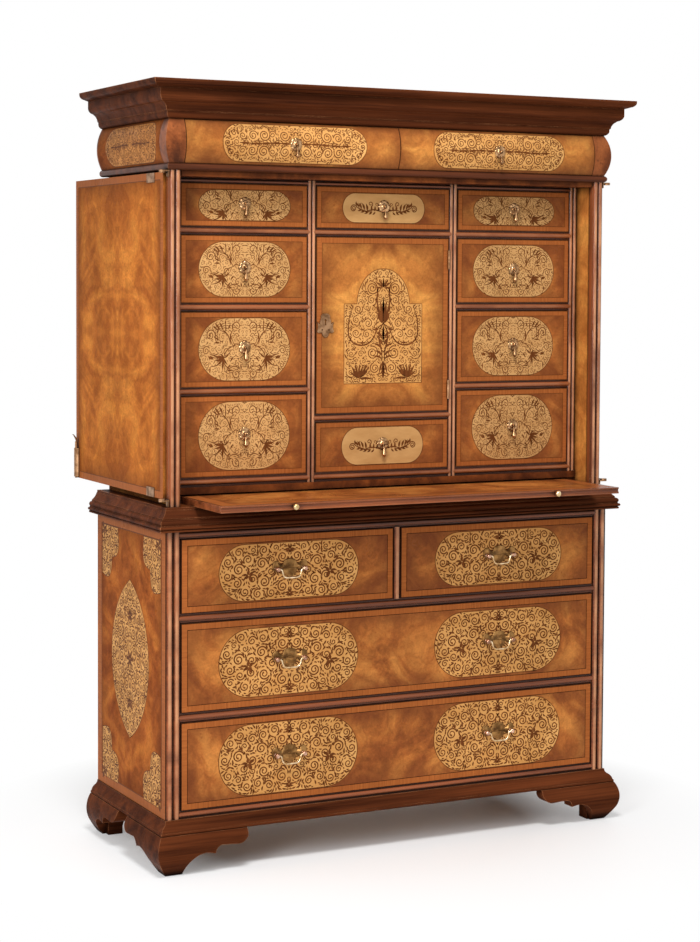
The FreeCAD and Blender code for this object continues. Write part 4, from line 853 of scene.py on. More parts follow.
def smooth_run(points, steps=8):
    """A smooth line through the points: between each two, the cubic whose slopes are half the step from the
    point before to the point after."""
    points = np.array(points, float)
    padded = np.concatenate([2 * points[:1] - points[1:2], points, 2 * points[-1:] - points[-2:-1]])
    t = np.linspace(0.0, 1.0, steps, endpoint=False)[None, :, None]
    a, b, c, d = (padded[start:len(padded) - 3 + start, None] for start in range(4))
    line = 0.5 * (2 * b + (c - a) * t + (2 * a - 5 * b + 4 * c - d) * t ** 2
                  + (3 * b - a - 3 * c + d) * t ** 3)
    return np.concatenate([line.reshape(-1, points.shape[1]), points[-1:]])


def raised(at, rings, heights):
    """A cast shape that rises from a flat outline: each ring of points has its own height, faces join the
    rings, and one face closes the last ring."""
    rings = np.array(rings)
    heights = np.array(heights, float)[:, None] if np.ndim(heights) == 1 else heights
    heights = np.broadcast_to(heights, rings.shape[:2])
    points = at(rings[..., 0], rings[..., 1], heights)
    cap = np.arange(rings.shape[1]) + (len(rings) - 1) * rings.shape[1]
    return points, [net(points, True), cap[None]], rings * MM, 0.0


def turned_piece(at, profile, around=20):
    """A turned shape: each (radius, height) of its profile carried round the axis that points out."""
    angle = np.arange(around) * 2 * np.pi / around
    profile = np.array(profile, float)
    rings = profile[:, 0, None, None] * circle(angle)[None]
    heights = np.broadcast_to(profile[:, 1, None], rings.shape[:2])
    points = at(rings[..., 0], rings[..., 1], heights)
    first = np.arange(around)[None]
    blocks = [net(points, True), first[:, ::-1], first + around * (len(rings) - 1)]
    return points, blocks, rings * MM, 0.0


def rod(path, radii, around=14):
    """A round rod along a path in one upright plane: rings square to the path's run, closed at both
    ends."""
    path = np.array(path, float)
    run = np.gradient(path, axis=0)
    run = run / np.linalg.norm(run, axis=1, keepdims=True)
    side = np.stack([-run[:, 2], np.zeros(len(run)), run[:, 0]], -1)
    angle = np.arange(around) * 2 * np.pi / around
    cosine, sine = np.cos(angle)[None, :, None], np.sin(angle)[None, :, None]
    square = side[:, None] * cosine + np.array([0.0, 1.0, 0.0]) * sine
    rings = path[:, None] + radii[:, None, None] * square
    first = np.arange(around)
    blocks = [net(rings, True)[:, ::-1], first[None], first[None, ::-1] + around * (len(path) - 1)]
    return rings, blocks, np.zeros((rings.shape[0] * around, 2)), 0.0


PLATE_WIDE = 40.8
PLATE_TALL = 25.3
PLATE_EDGE_SHARES = [(0.0, -1.0), (0.06, -0.8), (0.16, -0.6), (0.3, -0.5), (0.38, -0.3), (0.385, -0.05),
                     (0.44, 0.02), (0.52, -0.04), (0.62, -0.17), (0.78, -0.25), (0.92, -0.16), (1.0, 0.1),
                     (0.99, 0.4), (0.92, 0.6), (0.8, 0.68), (0.72, 0.56), (0.62, 0.42), (0.5, 0.34),
                     (0.4, 0.42), (0.36, 0.6), (0.3, 0.74), (0.16, 0.8), (0.08, 0.84), (0.0, 0.86)]
POST_PLACE = 32.5
POST_PIN = 11.5
POST_PROFILE = [(3.6, 0.0), (3.6, 2.0), (2.5, 2.6), (2.3, 5.6), (3.6, 6.6), (5.2, 8.4), (5.7, 11.2),
                (5.1, 13.6), (3.2, 15.3), (1.2, 15.8)]
PLATE_STEPS = ((1.0, 0.0), (1.0, 1.2), (0.975, 2.0), (0.93, 2.1), (0.86, 1.8), (0.84, 2.05))
BAIL_PATH = [(28.2, 0.0), (25.6, -0.6), (23.4, -2.6), (22.4, -6.0), (21.2, -10.5), (18.6, -15.4),
             (14.4, -18.0), (9.5, -18.5), (4.8, -18.6), (0.0, -18.6)]


def batwing_plate(at):
    """The plate, its edge bevelled and lined: each step is a share of the whole outline, at its own
    height."""
    half = smooth_run(PLATE_EDGE_SHARES, 5) * (PLATE_WIDE, PLATE_TALL)
    whole = np.concatenate([half, (half * (-1, 1))[-2:0:-1]])
    return raised(at, [whole * share for share, rise in PLATE_STEPS], [rise for share, rise in PLATE_STEPS])


def ball_posts(at):
    """The two posts with their ball heads."""
    profile = smooth_run(POST_PROFILE, 4)
    return [turned_piece(lambda u, v, h, side=side: at(u + side * POST_PLACE, v, h), profile)
            for side in (-1, 1)]


def hung_bail(x, y, z):
    """A bail as it hangs: a rod thickest in the middle, ending in small balls inside the posts' heads."""
    half = smooth_run(BAIL_PATH, 5)
    flat = np.concatenate([half, (half * (-1, 1))[-2::-1]])
    path = np.stack([x + flat[:, 0], np.full(len(flat), y), z + flat[:, 1]], -1)
    t = np.linspace(-1.0, 1.0, len(path))
    radii = 1.9 + 0.5 * np.exp(-(t / 0.3) ** 2) + 0.9 * np.exp(-((np.abs(t) - 0.96) / 0.04) ** 2)
    return rod(path, radii)


for name, (places, tall) in CHEST_FRONTS.items():
    low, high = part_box(name)
    middle_z = (low.z + high.z) / 2 / MM + PULL_RISE
    plates = []
    posts = []
    for place in places:
        at = front(place, CHEST_FACE, middle_z)
        plates.append(batwing_plate(at))
        posts = posts + ball_posts(at)
        node = name.replace("_drawer", "_bail")
        if len(places) > 1:
            node = node + ("_left" if place < 0 else "_right")
        bail = lay(node + "_brass", node, bail_brass,
                   [hung_bail(place, CHEST_FACE - POST_PIN, middle_z)], smooth=True)
        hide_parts(node)
    lay(name + "_plates", name, plate_brass, plates, smooth=True)
    lay(name + "_posts", name, post_brass, posts, smooth=True)

# Nest of ten drawers
# Made as the chest's drawers are, but with oak boards 8 mm thick. Each panel shows sparse scrolls, stalks
# and leaves round its pull, which is a lobed rosette with a fork and a drop that hangs on the fork's pin.
NEST_FACE = -131.0
NEST_BOARD = 14.0
NEST_BAND = 11.0
NEST_PANEL = 108.0
NEST_MARGIN = 13.0
MOTIF_HALF = 59.0
CENTRE_PANEL = 103.0

# Each scroll is (across, up, radius, first angle in degrees, hand, turns), each leaf (across, up, angle,
# length, bend), and each stalk (start, end, bow)
NEST_SCROLLS = [(18, 43, 11.5, -25, 1, 1.0), (18, 26, 5.5, -10, 1, 1.1), (80, 27, 12, 205, -1, 1.7),
                (90, -2, 9, 150, -1, 1.6), (19, -46, 9.5, 20, -1, 1.3), (17, -27, 6, 80, -1, 1.2),
                (41, -3, 9.5, -65, 1, 0.75), (62, 14, 6, 190, -1, 1.1), (88, -30, 6.5, 100, -1, 1.3),
                (38, -42, 6, 130, -1, 1.3)]
NEST_BLADES = [(45, 46, 90, 10, 0.0), (52, 38, 72, 17, -0.5), (58, 36, 58, 20, -0.4),
               (64, 37, 42, 14, -0.5), (38, 38, 104, 12, 0.4), (49, -16, 160, 18, -0.7),
               (49, -16, 62, 13, -0.9), (49, -16, 22, 19, -0.5), (49, -16, 2, 26, 0.35),
               (49, -16, -24, 24, 0.5), (49, -16, -48, 24, 0.4), (49, -16, -76, 25, -0.3),
               (49, -16, -110, 17, -0.6), (58, 12, 15, 15, -0.6), (74, -18, 8, 15, 0.9),
               (80, -34, -70, 12, -0.6), (30, -38, -25, 12, 0.9), (34, -28, -60, 13, 0.6),
               (30, 18, 60, 13, 0.4), (66, 30, 130, 12, -0.6), (70, 22, 190, 11, 0.8),
               (82, -12, 200, 12, 0.8), (8, -38, 90, 11, -0.4), (26, -14, -40, 13, -0.5)]
NEST_STEMS = [((27, 6), (27, 38), -0.22), ((27, 6), (49, -16), 0.16), ((33, 9), (52, 38), 0.12),
              ((34, 12), (58, 36), 0.2), ((52, 38), (70, 36), 0.1), ((60, -6), (82, -8), -0.16),
              ((49, -16), (80, -32), -0.14), ((49, -16), (36, -36), 0.2), ((36, -36), (10, -38), -0.2),
              ((45, 34), (45, 47), 0.05), ((62, 20), (68, 28), 0.1), ((14, 8), (27, 6), 0.25)]
NEST_CURLS = [(9.0, 24.0, 5.0)]
CENTRE_SCROLLS = [(76, -1, 8.5, 165, -1, 1.9), (34, 9, 6.5, 250, -1, 1.2), (19, 8, 5.0, 250, -1, 1.0)]
CENTRE_BLADES = [(16, -7, 120, 12, -0.6), (24, -7, 112, 13, -0.7), (32, -7, 104, 14, -0.6),
                 (42, -6, 98, 17, -0.8), (49, -4, 84, 17, -0.7), (56, -2, 74, 16, -0.6),
                 (62, 1, 66, 14, -0.7), (22, -8, -60, 10, 0.7), (30, -8, -50, 11, 0.7),
                 (39, -7, -44, 12, 0.7), (48, -5, -38, 12, 0.6), (56, -3, -34, 11, 0.6),
                 (64, 3, 140, 12, -0.4), (68, 5, 60, 10, 0.9)]
CENTRE_STEMS = [((6, -8), (44, -7), 0.1), ((30, -8), (68, 2), -0.1), ((44, -7), (66, 1), -0.05)]


def drawn(scrolls, leaves, stalks, width=1.1, stretch=1.0):
    """A motif from its three lists, with its mirror image, stretched upwards where the panel is taller."""
    scrolls = np.array(scrolls, float)
    leaves = np.array(leaves, float)
    starts = np.array([stalk[0] for stalk in stalks], float)
    ends = np.array([stalk[1] for stalk in stalks], float)
    bows = np.array([stalk[2] for stalk in stalks], float)
    lines = [volutes(row[None, :2], row[2:3], np.radians(row[3:4]), row[4:5], row[5], width, 30)
             for row in scrolls]
    lines.append(blades(leaves[:, :2], np.radians(leaves[:, 2]), leaves[:, 3], leaves[:, 4], width * 1.45))
    lines.append(stems(starts, ends, bows, width))
    lines = [(paths * (1.0, stretch), halves) for paths, halves in lines]
    return both_sides(lines)


def trimmed(lines, shape, margin=1.0):
    """Lines cut off at a panel's edge: where a path runs outside it, its width becomes nothing."""
    cut = []
    for paths, halves in lines:
        room = edge_room(paths.reshape(-1, 2), shape).reshape(halves.shape)
        cut.append((paths, np.where(room > margin, halves, 0.0)))
    return cut


nest_material = drawer_material("nest_drawer_woods", NEST_FACE, NEST_BOARD, PULL_TONES)
nest_names = ["nest_drawer_%s_%d" % (side, row) for side in ("left", "right") for row in (1, 2, 3, 4)]
nest_names = nest_names + ["nest_drawer_centre_low", "nest_drawer_centre_top"]
for number, name in enumerate(nest_names):
    dress(nest_material, name)
    low, high = measured(name)
    centre = "centre" in name
    half_x, half_z = (high.x - low.x) / 2, (high.z - low.z) / 2
    tall = half_z - NEST_MARGIN
    at = front((low.x + high.x) / 2, NEST_FACE, (low.z + high.z) / 2)
    darks = front_leaves(name, at, -half_x, half_x, -half_z, half_z, NEST_BAND, 0.23 * (number + 3))
    roundness = 0.95 if centre else 1.25 if tall < 40 else 1.0
    edge = stadium(CENTRE_PANEL if centre else NEST_PANEL, tall, roundness)
    shape = outline_of(edge)
    if centre:
        work = drawn(CENTRE_SCROLLS, CENTRE_BLADES, CENTRE_STEMS, 1.4)
    else:
        work = drawn(NEST_SCROLLS, NEST_BLADES, NEST_STEMS, stretch=max(1.0, tall / MOTIF_HALF))
        motif = trimmed(work, shape)
        work = work + seaweed(shape, NEST_CURLS, (5.0, 4.0), 2.6, 0.75, scale=0.85, motif=motif)
    veneer(name + "_holly", name, pale_holly, ground(at, edge))
    darks = darks + seaweed_leaves(at, trimmed(work, shape), shape, THIN_LINE)
    veneer(name + "_scrolls", name, dark_leaf, darks)

ROSETTE_RADIUS = 14.3
ROSETTE_PETALS = 8
# Each ring of a rosette is (share of the radius, height, how far its petals dome up, how far the rim waves)
ROSETTE_STEPS = [(1.0, 0.0, 0.0, 1.0), (1.0, 0.7, 0.3, 1.0), (0.95, 1.3, 0.6, 1.0), (0.82, 2.0, 0.9, 0.8),
                 (0.66, 2.3, 0.8, 0.5), (0.52, 1.9, 0.3, 0.2), (0.47, 2.0, 0.0, 0.0), (0.43, 3.2, 0.0, 0.0),
                 (0.36, 3.9, 0.0, 0.0), (0.25, 4.1, 0.0, 0.0)]
CHEEK_PROFILE = [(2.2, 1.25), (3.0, 1.3), (3.2, 1.9), (3.0, 2.6), (1.6, 3.1), (0.5, 3.3)]
CHEEK_FOOT = [(1.3, -2.4), (3.0, -2.4), (3.0, 2.4), (1.3, 2.4)]
DROP_PIVOT = 8.0
DROP_PROFILE = [(0.7, 1.5), (0.75, 3.6), (2.3, 4.6), (2.5, 5.4), (1.2, 6.6), (1.35, 8.2), (2.3, 12.0),
                (3.4, 16.5), (4.3, 20.5), (4.75, 23.2), (4.4, 25.4), (3.0, 27.0), (1.7, 28.2), (1.3, 29.2),
                (0.5, 30.1)]
EYE_STEPS = (24, 10)
DROP_RISE = 4.0
pull_brass = cast_brass("pull_brass", gloss=0.16, **PULL_TONES)


def petal_rosette(at):
    """A dished rosette: the rim waves with the petals, each petal is domed across, and a beaded boss stands
    in the middle round the fork."""
    angle = np.arange(96) * 2 * np.pi / 96
    wave = np.abs(np.cos(angle * ROSETTE_PETALS / 2))
    shares, base, dome, rim = np.array(ROSETTE_STEPS).T[..., None]
    reach = ROSETTE_RADIUS * shares * (1.0 - 0.16 * rim * (1.0 - wave[None]))
    rings = reach[..., None] * circle(angle)[None]
    heights = base + dome * (wave[None] - 0.35)
    return raised(at, rings, np.maximum(heights, 0.0))


def fork_cheeks(at):
    """The two rounded cheeks that hold the pin."""
    parts = []
    for side in (-1, 1):
        cheek_at = lambda u, v, h, side=side: at(h * side, v, u + DROP_PIVOT)
        parts.append(turned_piece(cheek_at, CHEEK_PROFILE, 16))
        parts.append(raised(at, [np.array(CHEEK_FOOT) * (side, 1)] * 2, (3.0, DROP_PIVOT)))
    return parts


def hung_drop(x, y, z):
    """A turned drop below its eye: the eye is a ring round the pin."""
    at = facing((x, y, z), (1, 0, 0), (0, 1, 0), (0, 0, -1))
    body = turned_piece(at, smooth_run(DROP_PROFILE, 4), 22)
    angle = np.linspace(0.0, 2 * np.pi, EYE_STEPS[0], endpoint=False)
    around = np.linspace(0.0, 2 * np.pi, EYE_STEPS[1], endpoint=False)
    reach = 1.75 + 0.62 * np.cos(around)[None]
    ring = np.stack([np.broadcast_to(0.75 * np.sin(around)[None], EYE_STEPS), reach * np.cos(angle)[:, None],
                     reach * np.sin(angle)[:, None]], -1) + np.array([x, y, z])
    count = angle.size * around.size
    faces = net(np.concatenate([ring, ring[:1]]), True) % count
    return [body, (ring, [faces[:, ::-1]], np.zeros((count, 2)), 0.0)]


def drop_pull(drawer, x, face_y, z):
    """The rosette on its drawer, and the drop that replaces the plain one."""
    at = front(x, face_y, z)
    rosette = [petal_rosette(at)] + fork_cheeks(at)
    lay(drawer + "_rosette", drawer, pull_brass, rosette, smooth=True)
    node = drawer.replace("_drawer", "_drop")
    hung = hung_drop(x, face_y - DROP_PIVOT, z)
    drop = lay(node + "_brass", node, pull_brass, hung, smooth=True)
    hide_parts(node)


for name in nest_names:
    low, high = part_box(name)
    drop_pull(name, (low.x + high.x) / 2 / MM, NEST_FACE, (low.z + high.z) / 2 / MM + DROP_RISE)

# Cupboard door, its escutcheon and its butt hinges
# A framed pine door veneered like the drawers, with an arched panel let in. The escutcheon is sawn from
# brass sheet and pinned round the keyhole, and the two butts are screwed to the door's right edge.
ARCH_HALF = 98.0
ARCH_SHOULDER = 177.0
ARCH_NARROW = 66.0
ARCH_RISE = 78.0
ARCH_FOOT = 65.0
CUPBOARD_BAND = 13.0
CUPBOARD_CIRCLES = [(28, 212, 15), (30, 186, 10), (63, 165, 11.5), (68, 142, 9), (38, 134, 11.5),
                    (42, 110, 9.5), (68, 112, 11), (27, 68, 16), (21, 34, 13), (81, 26, 7), (56, 66, 8),
                    (80, 66, 8), (54, 158, 6)]
CUPBOARD_BLADES = [(0, 214, 90, 22, 0.0), (1, 214, 66, 22, -0.3), (2, 213, 44, 19, -0.4),
                   (3, 211, 20, 15, -0.3), (0, 138, 90, 56, 0.0), (1, 136, 80, 50, 0.12),
                   (3, 135, 70, 40, 0.25), (5, 135, 58, 28, 0.3), (0, 92, 88, 40, 0.1),
                   (1, 84, 70, 26, -0.7), (2, 76, 52, 28, -0.9), (2, 60, 58, 26, -1.0),
                   (2, 54, 38, 26, -0.9), (1, 48, -60, 30, -0.5), (0, 46, -84, 38, -0.2),
                   (3, 100, 62, 22, -0.8), (64, 12, 158, 42, -0.9), (64, 12, 144, 40, -0.7),
                   (64, 12, 128, 34, -0.6), (64, 12, 108, 32, -0.4), (65, 13, 88, 34, -0.3),
                   (66, 13, 70, 32, -0.3), (68, 14, 50, 22, -0.5), (60, 11, 172, 34, 0.4),
                   (44, 92, -20, 18, 0.8), (84, 92, 100, 14, 0.6), (84, 176, 200, 12, 0.7),
                   (16, 178, 75, 15, -0.6), (10, 160, 62, 16, -0.8), (12, 120, -10, 16, 0.7),
                   (48, 118, 30, 12, -0.7), (60, 128, 80, 12, 0.6)]
CUPBOARD_TRUNK = [(0, 134), (14, 122), (24, 103), (36, 90), (54, 85), (74, 90), (86, 106), (87, 128),
                  (84, 150), (76, 172)]
CUPBOARD_STALK = [(2, 40), (4, 70), (10, 96), (9, 118), (0, 134)]
CUPBOARD_RISER = [(2, 136), (12, 160), (16, 184), (15, 206), (20, 222), (32, 228)]


def arched(half, shoulder, narrow, rise, steps=20):
    """The right-hand edge of an arched panel, from its foot: upright, in along the shoulder, and up half an
    ellipse to its crown."""
    angle = np.linspace(0.0, np.pi / 2, steps)
    arch = np.stack([narrow * np.cos(angle), shoulder + rise * np.sin(angle)], -1)
    upright = np.stack([np.full(6, half), np.linspace(0.0, shoulder, 6)], -1)
    return np.concatenate([upright, arch])


def traced(points, width):
    """A long stalk along a smooth line through its points, thin at both ends."""
    path = smooth_run(points, 6)[None]
    t = np.linspace(0.0, 1.0, path.shape[1])[None]
    return path, width * (0.4 + 0.9 * np.sin(np.pi * t))


dress(figured("cupboard_veneer", TAN), "cupboard_door")
low, high = measured("cupboard_door")
at = front(0.0, NEST_FACE, 0.0)
darks = front_leaves("cupboard_door", at, low.x, high.x, low.z, high.z, CUPBOARD_BAND, 2.9, True, bright_leaf)
panel_at = front(0.0, NEST_FACE, low.z + ARCH_FOOT)
edge = arched(ARCH_HALF, ARCH_SHOULDER, ARCH_NARROW, ARCH_RISE)
shape = outline_of(edge)
leaves = np.array(CUPBOARD_BLADES, float)
work = seaweed(shape, CUPBOARD_CIRCLES, (6.0, 4.8), 3.4, 1.05, scale=0.85)
own = [blades(leaves[:, :2], np.radians(leaves[:, 2]), leaves[:, 3], leaves[:, 4], 1.5)]
own = own + [traced(line, 1.4) for line in (CUPBOARD_TRUNK, CUPBOARD_STALK, CUPBOARD_RISER)]
work = work + both_sides(own)
veneer("cupboard_holly", "cupboard_door", holly_leaf, ground(panel_at, edge))
darks = darks + seaweed_leaves(panel_at, trimmed(work, shape, 2.0), shape, THIN_LINE)
veneer("cupboard_seaweed", "cupboard_door", dark_leaf, darks)
fitting_brass = cast_brass("fitting_brass", linear(178, 136, 100), linear(122, 88, 60), 0.4)
dress(fitting_brass, "cupboard_fittings", "case_hinge_plates", "left_door_hinges", "right_door_hinges",
      "door_bolt_case", "door_bolt_rod")

# Writing slide and its knobs
# A clamped walnut board with a grooved front edge, veneered on top, that runs between the two cases. Two
# small turned brass knobs are screwed into its edge.
SLIDE_BAND = 34.0
SLIDE_IN = 6.0
KNOB_PLACE = 321.0
KNOB_PROFILE = [(2.8, 0.0), (2.6, 2.2), (3.4, 3.0), (5.4, 4.2), (6.5, 6.2), (6.8, 8.4), (6.2, 11.0),
                (4.4, 13.0), (2.2, 13.8), (0.6, 13.95)]
slide_low, slide_high = measured("writing_slide")
at = facing((0.0, 0.0, slide_high.z), (1, 0, 0), (0, 1, 0), (0, 0, 1))
darks = front_leaves("writing_slide", at, slide_low.x + SLIDE_IN, slide_high.x - SLIDE_IN,
                     slide_low.y + SLIDE_IN, slide_high.y - SLIDE_IN, SLIDE_BAND, 3.7, True)
lay("writing_slide_lines", "writing_slide", line_leaf, darks)
knob_low, knob_high = measured("slide_knobs")
knobs = [turned_piece(front(side * KNOB_PLACE, slide_low.y, (knob_low.z + knob_high.z) / 2),
                      smooth_run(KNOB_PROFILE, 4), 24) for side in (-1, 1)]
knob_brass = cast_brass("knob_brass", linear(238, 214, 170), linear(196, 160, 104), 0.2)
knob_piece = lay("slide_knobs_brass", "writing_slide", knob_brass, knobs, smooth=True)
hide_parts("slide_knobs")

# Big doors
# Clamped pine panels veneered on both sides. Their inner faces, which show when they are folded back, have
# four matched leaves. Their outer faces, which show when they are shut, carry seaweed like the chest's.
DOOR_BAND = 15.0
DOOR_LINE = 1.6
DOOR_OVAL = (120.0, 205.0)
DOOR_OVAL_CIRCLES = [(26, 78, 16), (26, -78, 16), (56, 0, 17), (20, 130, 12), (20, -130, 12)]
DOOR_OVAL_KNOTS = [(0.0, 104.0, 24.0, 9), (0.0, -104.0, 24.0, 9), (0.0, 0.0, 30.0, 12)]
DOOR_CORNER_IN = 34.0
DOOR_FAN = (104.0, 130.0)
DOOR_GOLD = dict(Light=linear(208, 130, 56), Middle=linear(190, 112, 47), Dark=linear(160, 88, 36))
dress(figured("door_veneer", DOOR_GOLD, shine=0.005), "left_door", "right_door")
door_leaf = figured("door_leaf", DOOR_GOLD, own_map=True, shine=0.005)
for side, name in ((-1, "left_door"), (1, "right_door")):
    low, high = measured(name)
    middle_y, middle_z = (low.y + high.y) / 2, (low.z + high.z) / 2
    half_y, half_z = (high.y - low.y) / 2, (high.z - low.z) / 2
    inner_x, outer_x = (low.x, high.x) if side < 0 else (high.x, low.x)
    u = np.linspace(DOOR_BAND - half_y, half_y - DOOR_BAND, 31)
    v = np.linspace(DOOR_BAND - half_z, half_z - DOOR_BAND, 41)
    bands, lines = [], []
    for face, x, out, shift in (("_inner_field", inner_x, side, (5.1, 0.7)),
                                ("_outer_field", outer_x, -side, (6.3, 0.2))):
        at = facing((x, middle_y, middle_z), (0, out, 0), (0, 0, 1), (out, 0, 0))
        veneer(name + face, name, door_leaf, [grid_leaf(at, u, v, shift, "quarter")])
        bands = bands + band(at, -half_y, half_y, -half_z, half_z, DOOR_BAND, BAND_RISE)
        lines = lines + band(at, u[0], u[-1], v[0], v[-1], DOOR_LINE, LINE_RISE)
    veneer(name + "_bands", name, band_leaf, bands)
    grounds, darks = oval_leaves(at, DOOR_OVAL, DOOR_OVAL_CIRCLES, (12, 9.5, 7.8, 6.4), DOOR_OVAL_KNOTS)
    for across in (-1, 1):
        for up in (-1, 1):
            place = (outer_x, middle_y + across * (half_y - DOOR_CORNER_IN),
                     middle_z + up * (half_z - DOOR_CORNER_IN))
            corner_at = facing(place, (0, -across, 0), (0, 0, -up), (-side, 0, 0))
            pale, dark = fan_leaves(corner_at, DOOR_FAN, (36, 42, 15), (11, 9, 7), (12.0, 12.0, 26.0, 9),
                                    across * up * side < 0)
            grounds, darks = grounds + pale, darks + dark
    veneer(name + "_holly", name, holly_leaf, grounds)
    veneer(name + "_seaweed", name, dark_leaf, lines + darks)

# Cushion frieze, its two drawers, and the cornice
# The frieze is pine hollowed behind and rounded in front, veneered in one sweep so that the drawers vanish
# in it. The nosing below it and the cornice above are worked in stained walnut.
FRIEZE_FACE = -195.0
FRIEZE_FOOT = 1.2
FRIEZE_BULGE = 12.8
FRIEZE_BOARD = 20.0
FRIEZE_HALF = 539.0
FRIEZE_PANEL = (170.0, 40.0)
FRIEZE_SIDE_PANEL = (150.0, 42.0)
FRIEZE_PULL = 253.2
FRIEZE_LINE = 0.9
NOSING_TALL = 15.0
CUSHION_TALL = 92.5
CUSHION_EDGE = 0.4
CORNICE_LAP = 1.8
FRIEZE_SIDE_ENDS = (-170.0, 200.0)
ROSETTE_SEAT = 0.8
FRIEZE_CIRCLES = [(27, 17, 12.5), (26, -17, 12), (55, 19, 9), (74, 17, 13), (100, 16, 11), (55, -19, 9),
                  (76, -17, 13), (102, -16, 11), (124, 15, 9), (125, -15, 9)]
FRIEZE_BRANCH = [(14, 0), (50, 1), (90, -1), (132, 0)]


def cushion_face(centre, across, out, low, high, foot, bulge):
    """The rounded face of the cushion: a circle through its foot, its middle and its top. A point's depth
    is where the circle stands at its height, and its rise goes out along the circle's radius."""
    tall = high - low
    slope = -foot / tall
    reach = bulge - foot / 2
    radius = (reach ** 2 + (tall ** 2 + foot ** 2) / 4) / (2 * reach)
    middle = (low + high) / 2
    centre_out = bulge - radius
    origin = np.array(centre, float)
    sideways = np.array(across, float)
    outward = np.array(out, float)

    def at(u, v, h):
        u, v, h = np.broadcast_arrays(np.asarray(u, float), v, h)
        fall = np.sqrt(np.maximum(radius ** 2 - v ** 2, 1.0))
        depth = centre_out + fall + slope * v + h * fall / radius
        height = middle + v + h * v / radius
        return (origin + u[..., None] * sideways + depth[..., None] * outward
                + height[..., None] * np.array([0.0, 0.0, 1.0]))
    return at


def frieze_motif(half_width, half_height, circles, shape):
    """A dark branch both ways from the middle, volutes above and below it, and a fringe of leaves round the
    ends."""
    work = seaweed(shape, circles, (8.0, 6.0, 4.8), 3.0, 1.1, scale=0.8)
    angle = np.linspace(-1.35, 1.35, 11)
    middle = np.array([half_width - half_height, 0.0])
    roots = middle + (half_height - 15.0) * circle(angle)
    own = [blades(roots, angle, np.full(11, 10.0), np.where(angle > 0, 0.9, -0.9), 1.5)]
    path = smooth_run(FRIEZE_BRANCH, 8)[None] * (half_width / FRIEZE_PANEL[0], 1.0)
    t = np.linspace(0.0, 1.0, path.shape[1])[None]
    own.append((path, 1.9 * np.abs(np.sin(5.0 * np.pi * t)) * (1.0 - 0.5 * t) + 0.7))
    side_roots = np.stack([np.linspace(20.0, 0.7 * half_width, 12), np.zeros(12)], -1)
    for way in (1, -1):
        own.append(blades(side_roots, np.full(12, way * 0.6), np.full(12, 9.0), np.full(12, way * 0.7), 1.1))
    return work + both_sides(own)


cushion_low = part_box("frieze_case")[0].z / MM + NOSING_TALL
cushion_high = cushion_low + CUSHION_TALL
cushion = (cushion_low, cushion_high, FRIEZE_FOOT, FRIEZE_BULGE)
front_at = cushion_face((0.0, FRIEZE_FACE, 0.0), (1, 0, 0), (0, -1, 0), *cushion)
half_rise = (cushion_high - cushion_low) / 2
frieze_material = drawer_material("frieze_drawer_woods", FRIEZE_FACE - FRIEZE_BULGE,
                                  FRIEZE_BOARD + FRIEZE_BULGE, PULL_TONES)
dress(frieze_material, "frieze_drawer_left", "frieze_drawer_right")
edge = stadium(*FRIEZE_PANEL)
shape = outline_of(edge)
work = trimmed(frieze_motif(*FRIEZE_PANEL, FRIEZE_CIRCLES, shape), shape, 1.5)
for side, name in ((-1, "frieze_drawer_left"), (1, "frieze_drawer_right")):
    low, high = measured(name)
    middle_x = side * FRIEZE_PULL
    at = lambda u, v, h, x=middle_x: front_at(u + x, v, h)
    half_x = (high.x - low.x) / 2
    u = np.linspace(-half_x, half_x, 31)
    v = np.linspace(CUSHION_EDGE - half_rise, half_rise - CORNICE_LAP, 25)
    veneer(name + "_field", name, bright_leaf, [grid_leaf(at, u, v, (7.0 + side, 0.4))])
    veneer(name + "_holly", name, holly_leaf, ground(at, edge))
    lines = band(at, u[0], u[-1], v[0], v[-1], FRIEZE_LINE, LINE_RISE, 20)
    veneer(name + "_seaweed", name, dark_leaf, lines + seaweed_leaves(at, work, shape, THIN_LINE))
    drop_pull(name, middle_x, FRIEZE_FACE - FRIEZE_BULGE + ROSETTE_SEAT, (cushion_low + cushion_high) / 2)

frieze_veneer, tree, shader, coordinates, bump = surface("frieze_veneer", shine=0.12, dents=0.2)
place = coordinates["Object"]
height = add(tree, "ShaderNodeSeparateXYZ", {}, {0: place}).outputs["Z"]
over = spread(tree, height, (cushion_low - 0.3) * MM, (cushion_low + 0.1) * MM)
leaf = placed(tree, burr, {"Vector": place, "Light": linear(150, 84, 44), "Middle": linear(122, 64, 32),
                           "Dark": linear(80, 40, 20)})
fibre = placed(tree, grain, {"Vector": place, "Light": DARK_WALNUT["light"], "Dark": DARK_WALNUT["dark"]})
finish = placed(tree, polish, {"Color": blended(tree, over, fibre["Color"], leaf["Color"]), "Wear_And_Highlight_Share": 0.6})
finished(tree, shader, bump, finish, leaf["Height"])
dress(frieze_veneer, "frieze_case")
edge = stadium(*FRIEZE_SIDE_PANEL)
shape = outline_of(edge)
side_work = trimmed(frieze_motif(*FRIEZE_SIDE_PANEL, FRIEZE_CIRCLES[:7], shape), shape, 1.5)
for side, name in ((-1, "left"), (1, "right")):
    at = cushion_face((side * FRIEZE_HALF, 0.0, 0.0), (0, side, 0), (side, 0, 0), *cushion)
    u = np.linspace(*FRIEZE_SIDE_ENDS, 21) * side
    v = np.linspace(CUSHION_EDGE - half_rise, half_rise - CUSHION_EDGE, 25)
    veneer("frieze_side_field_" + name, "root", side_leaf, [grid_leaf(at, np.sort(u), v, (9.0 + side, 0.1))])
    # The sides' holly is the darker copy: painted shade under the cornice
    veneer("frieze_side_holly_" + name, "root", side_holly, ground(at, edge))
    veneer("frieze_side_seaweed_" + name, "root", dark_leaf, seaweed_leaves(at, side_work, shape, THIN_LINE))

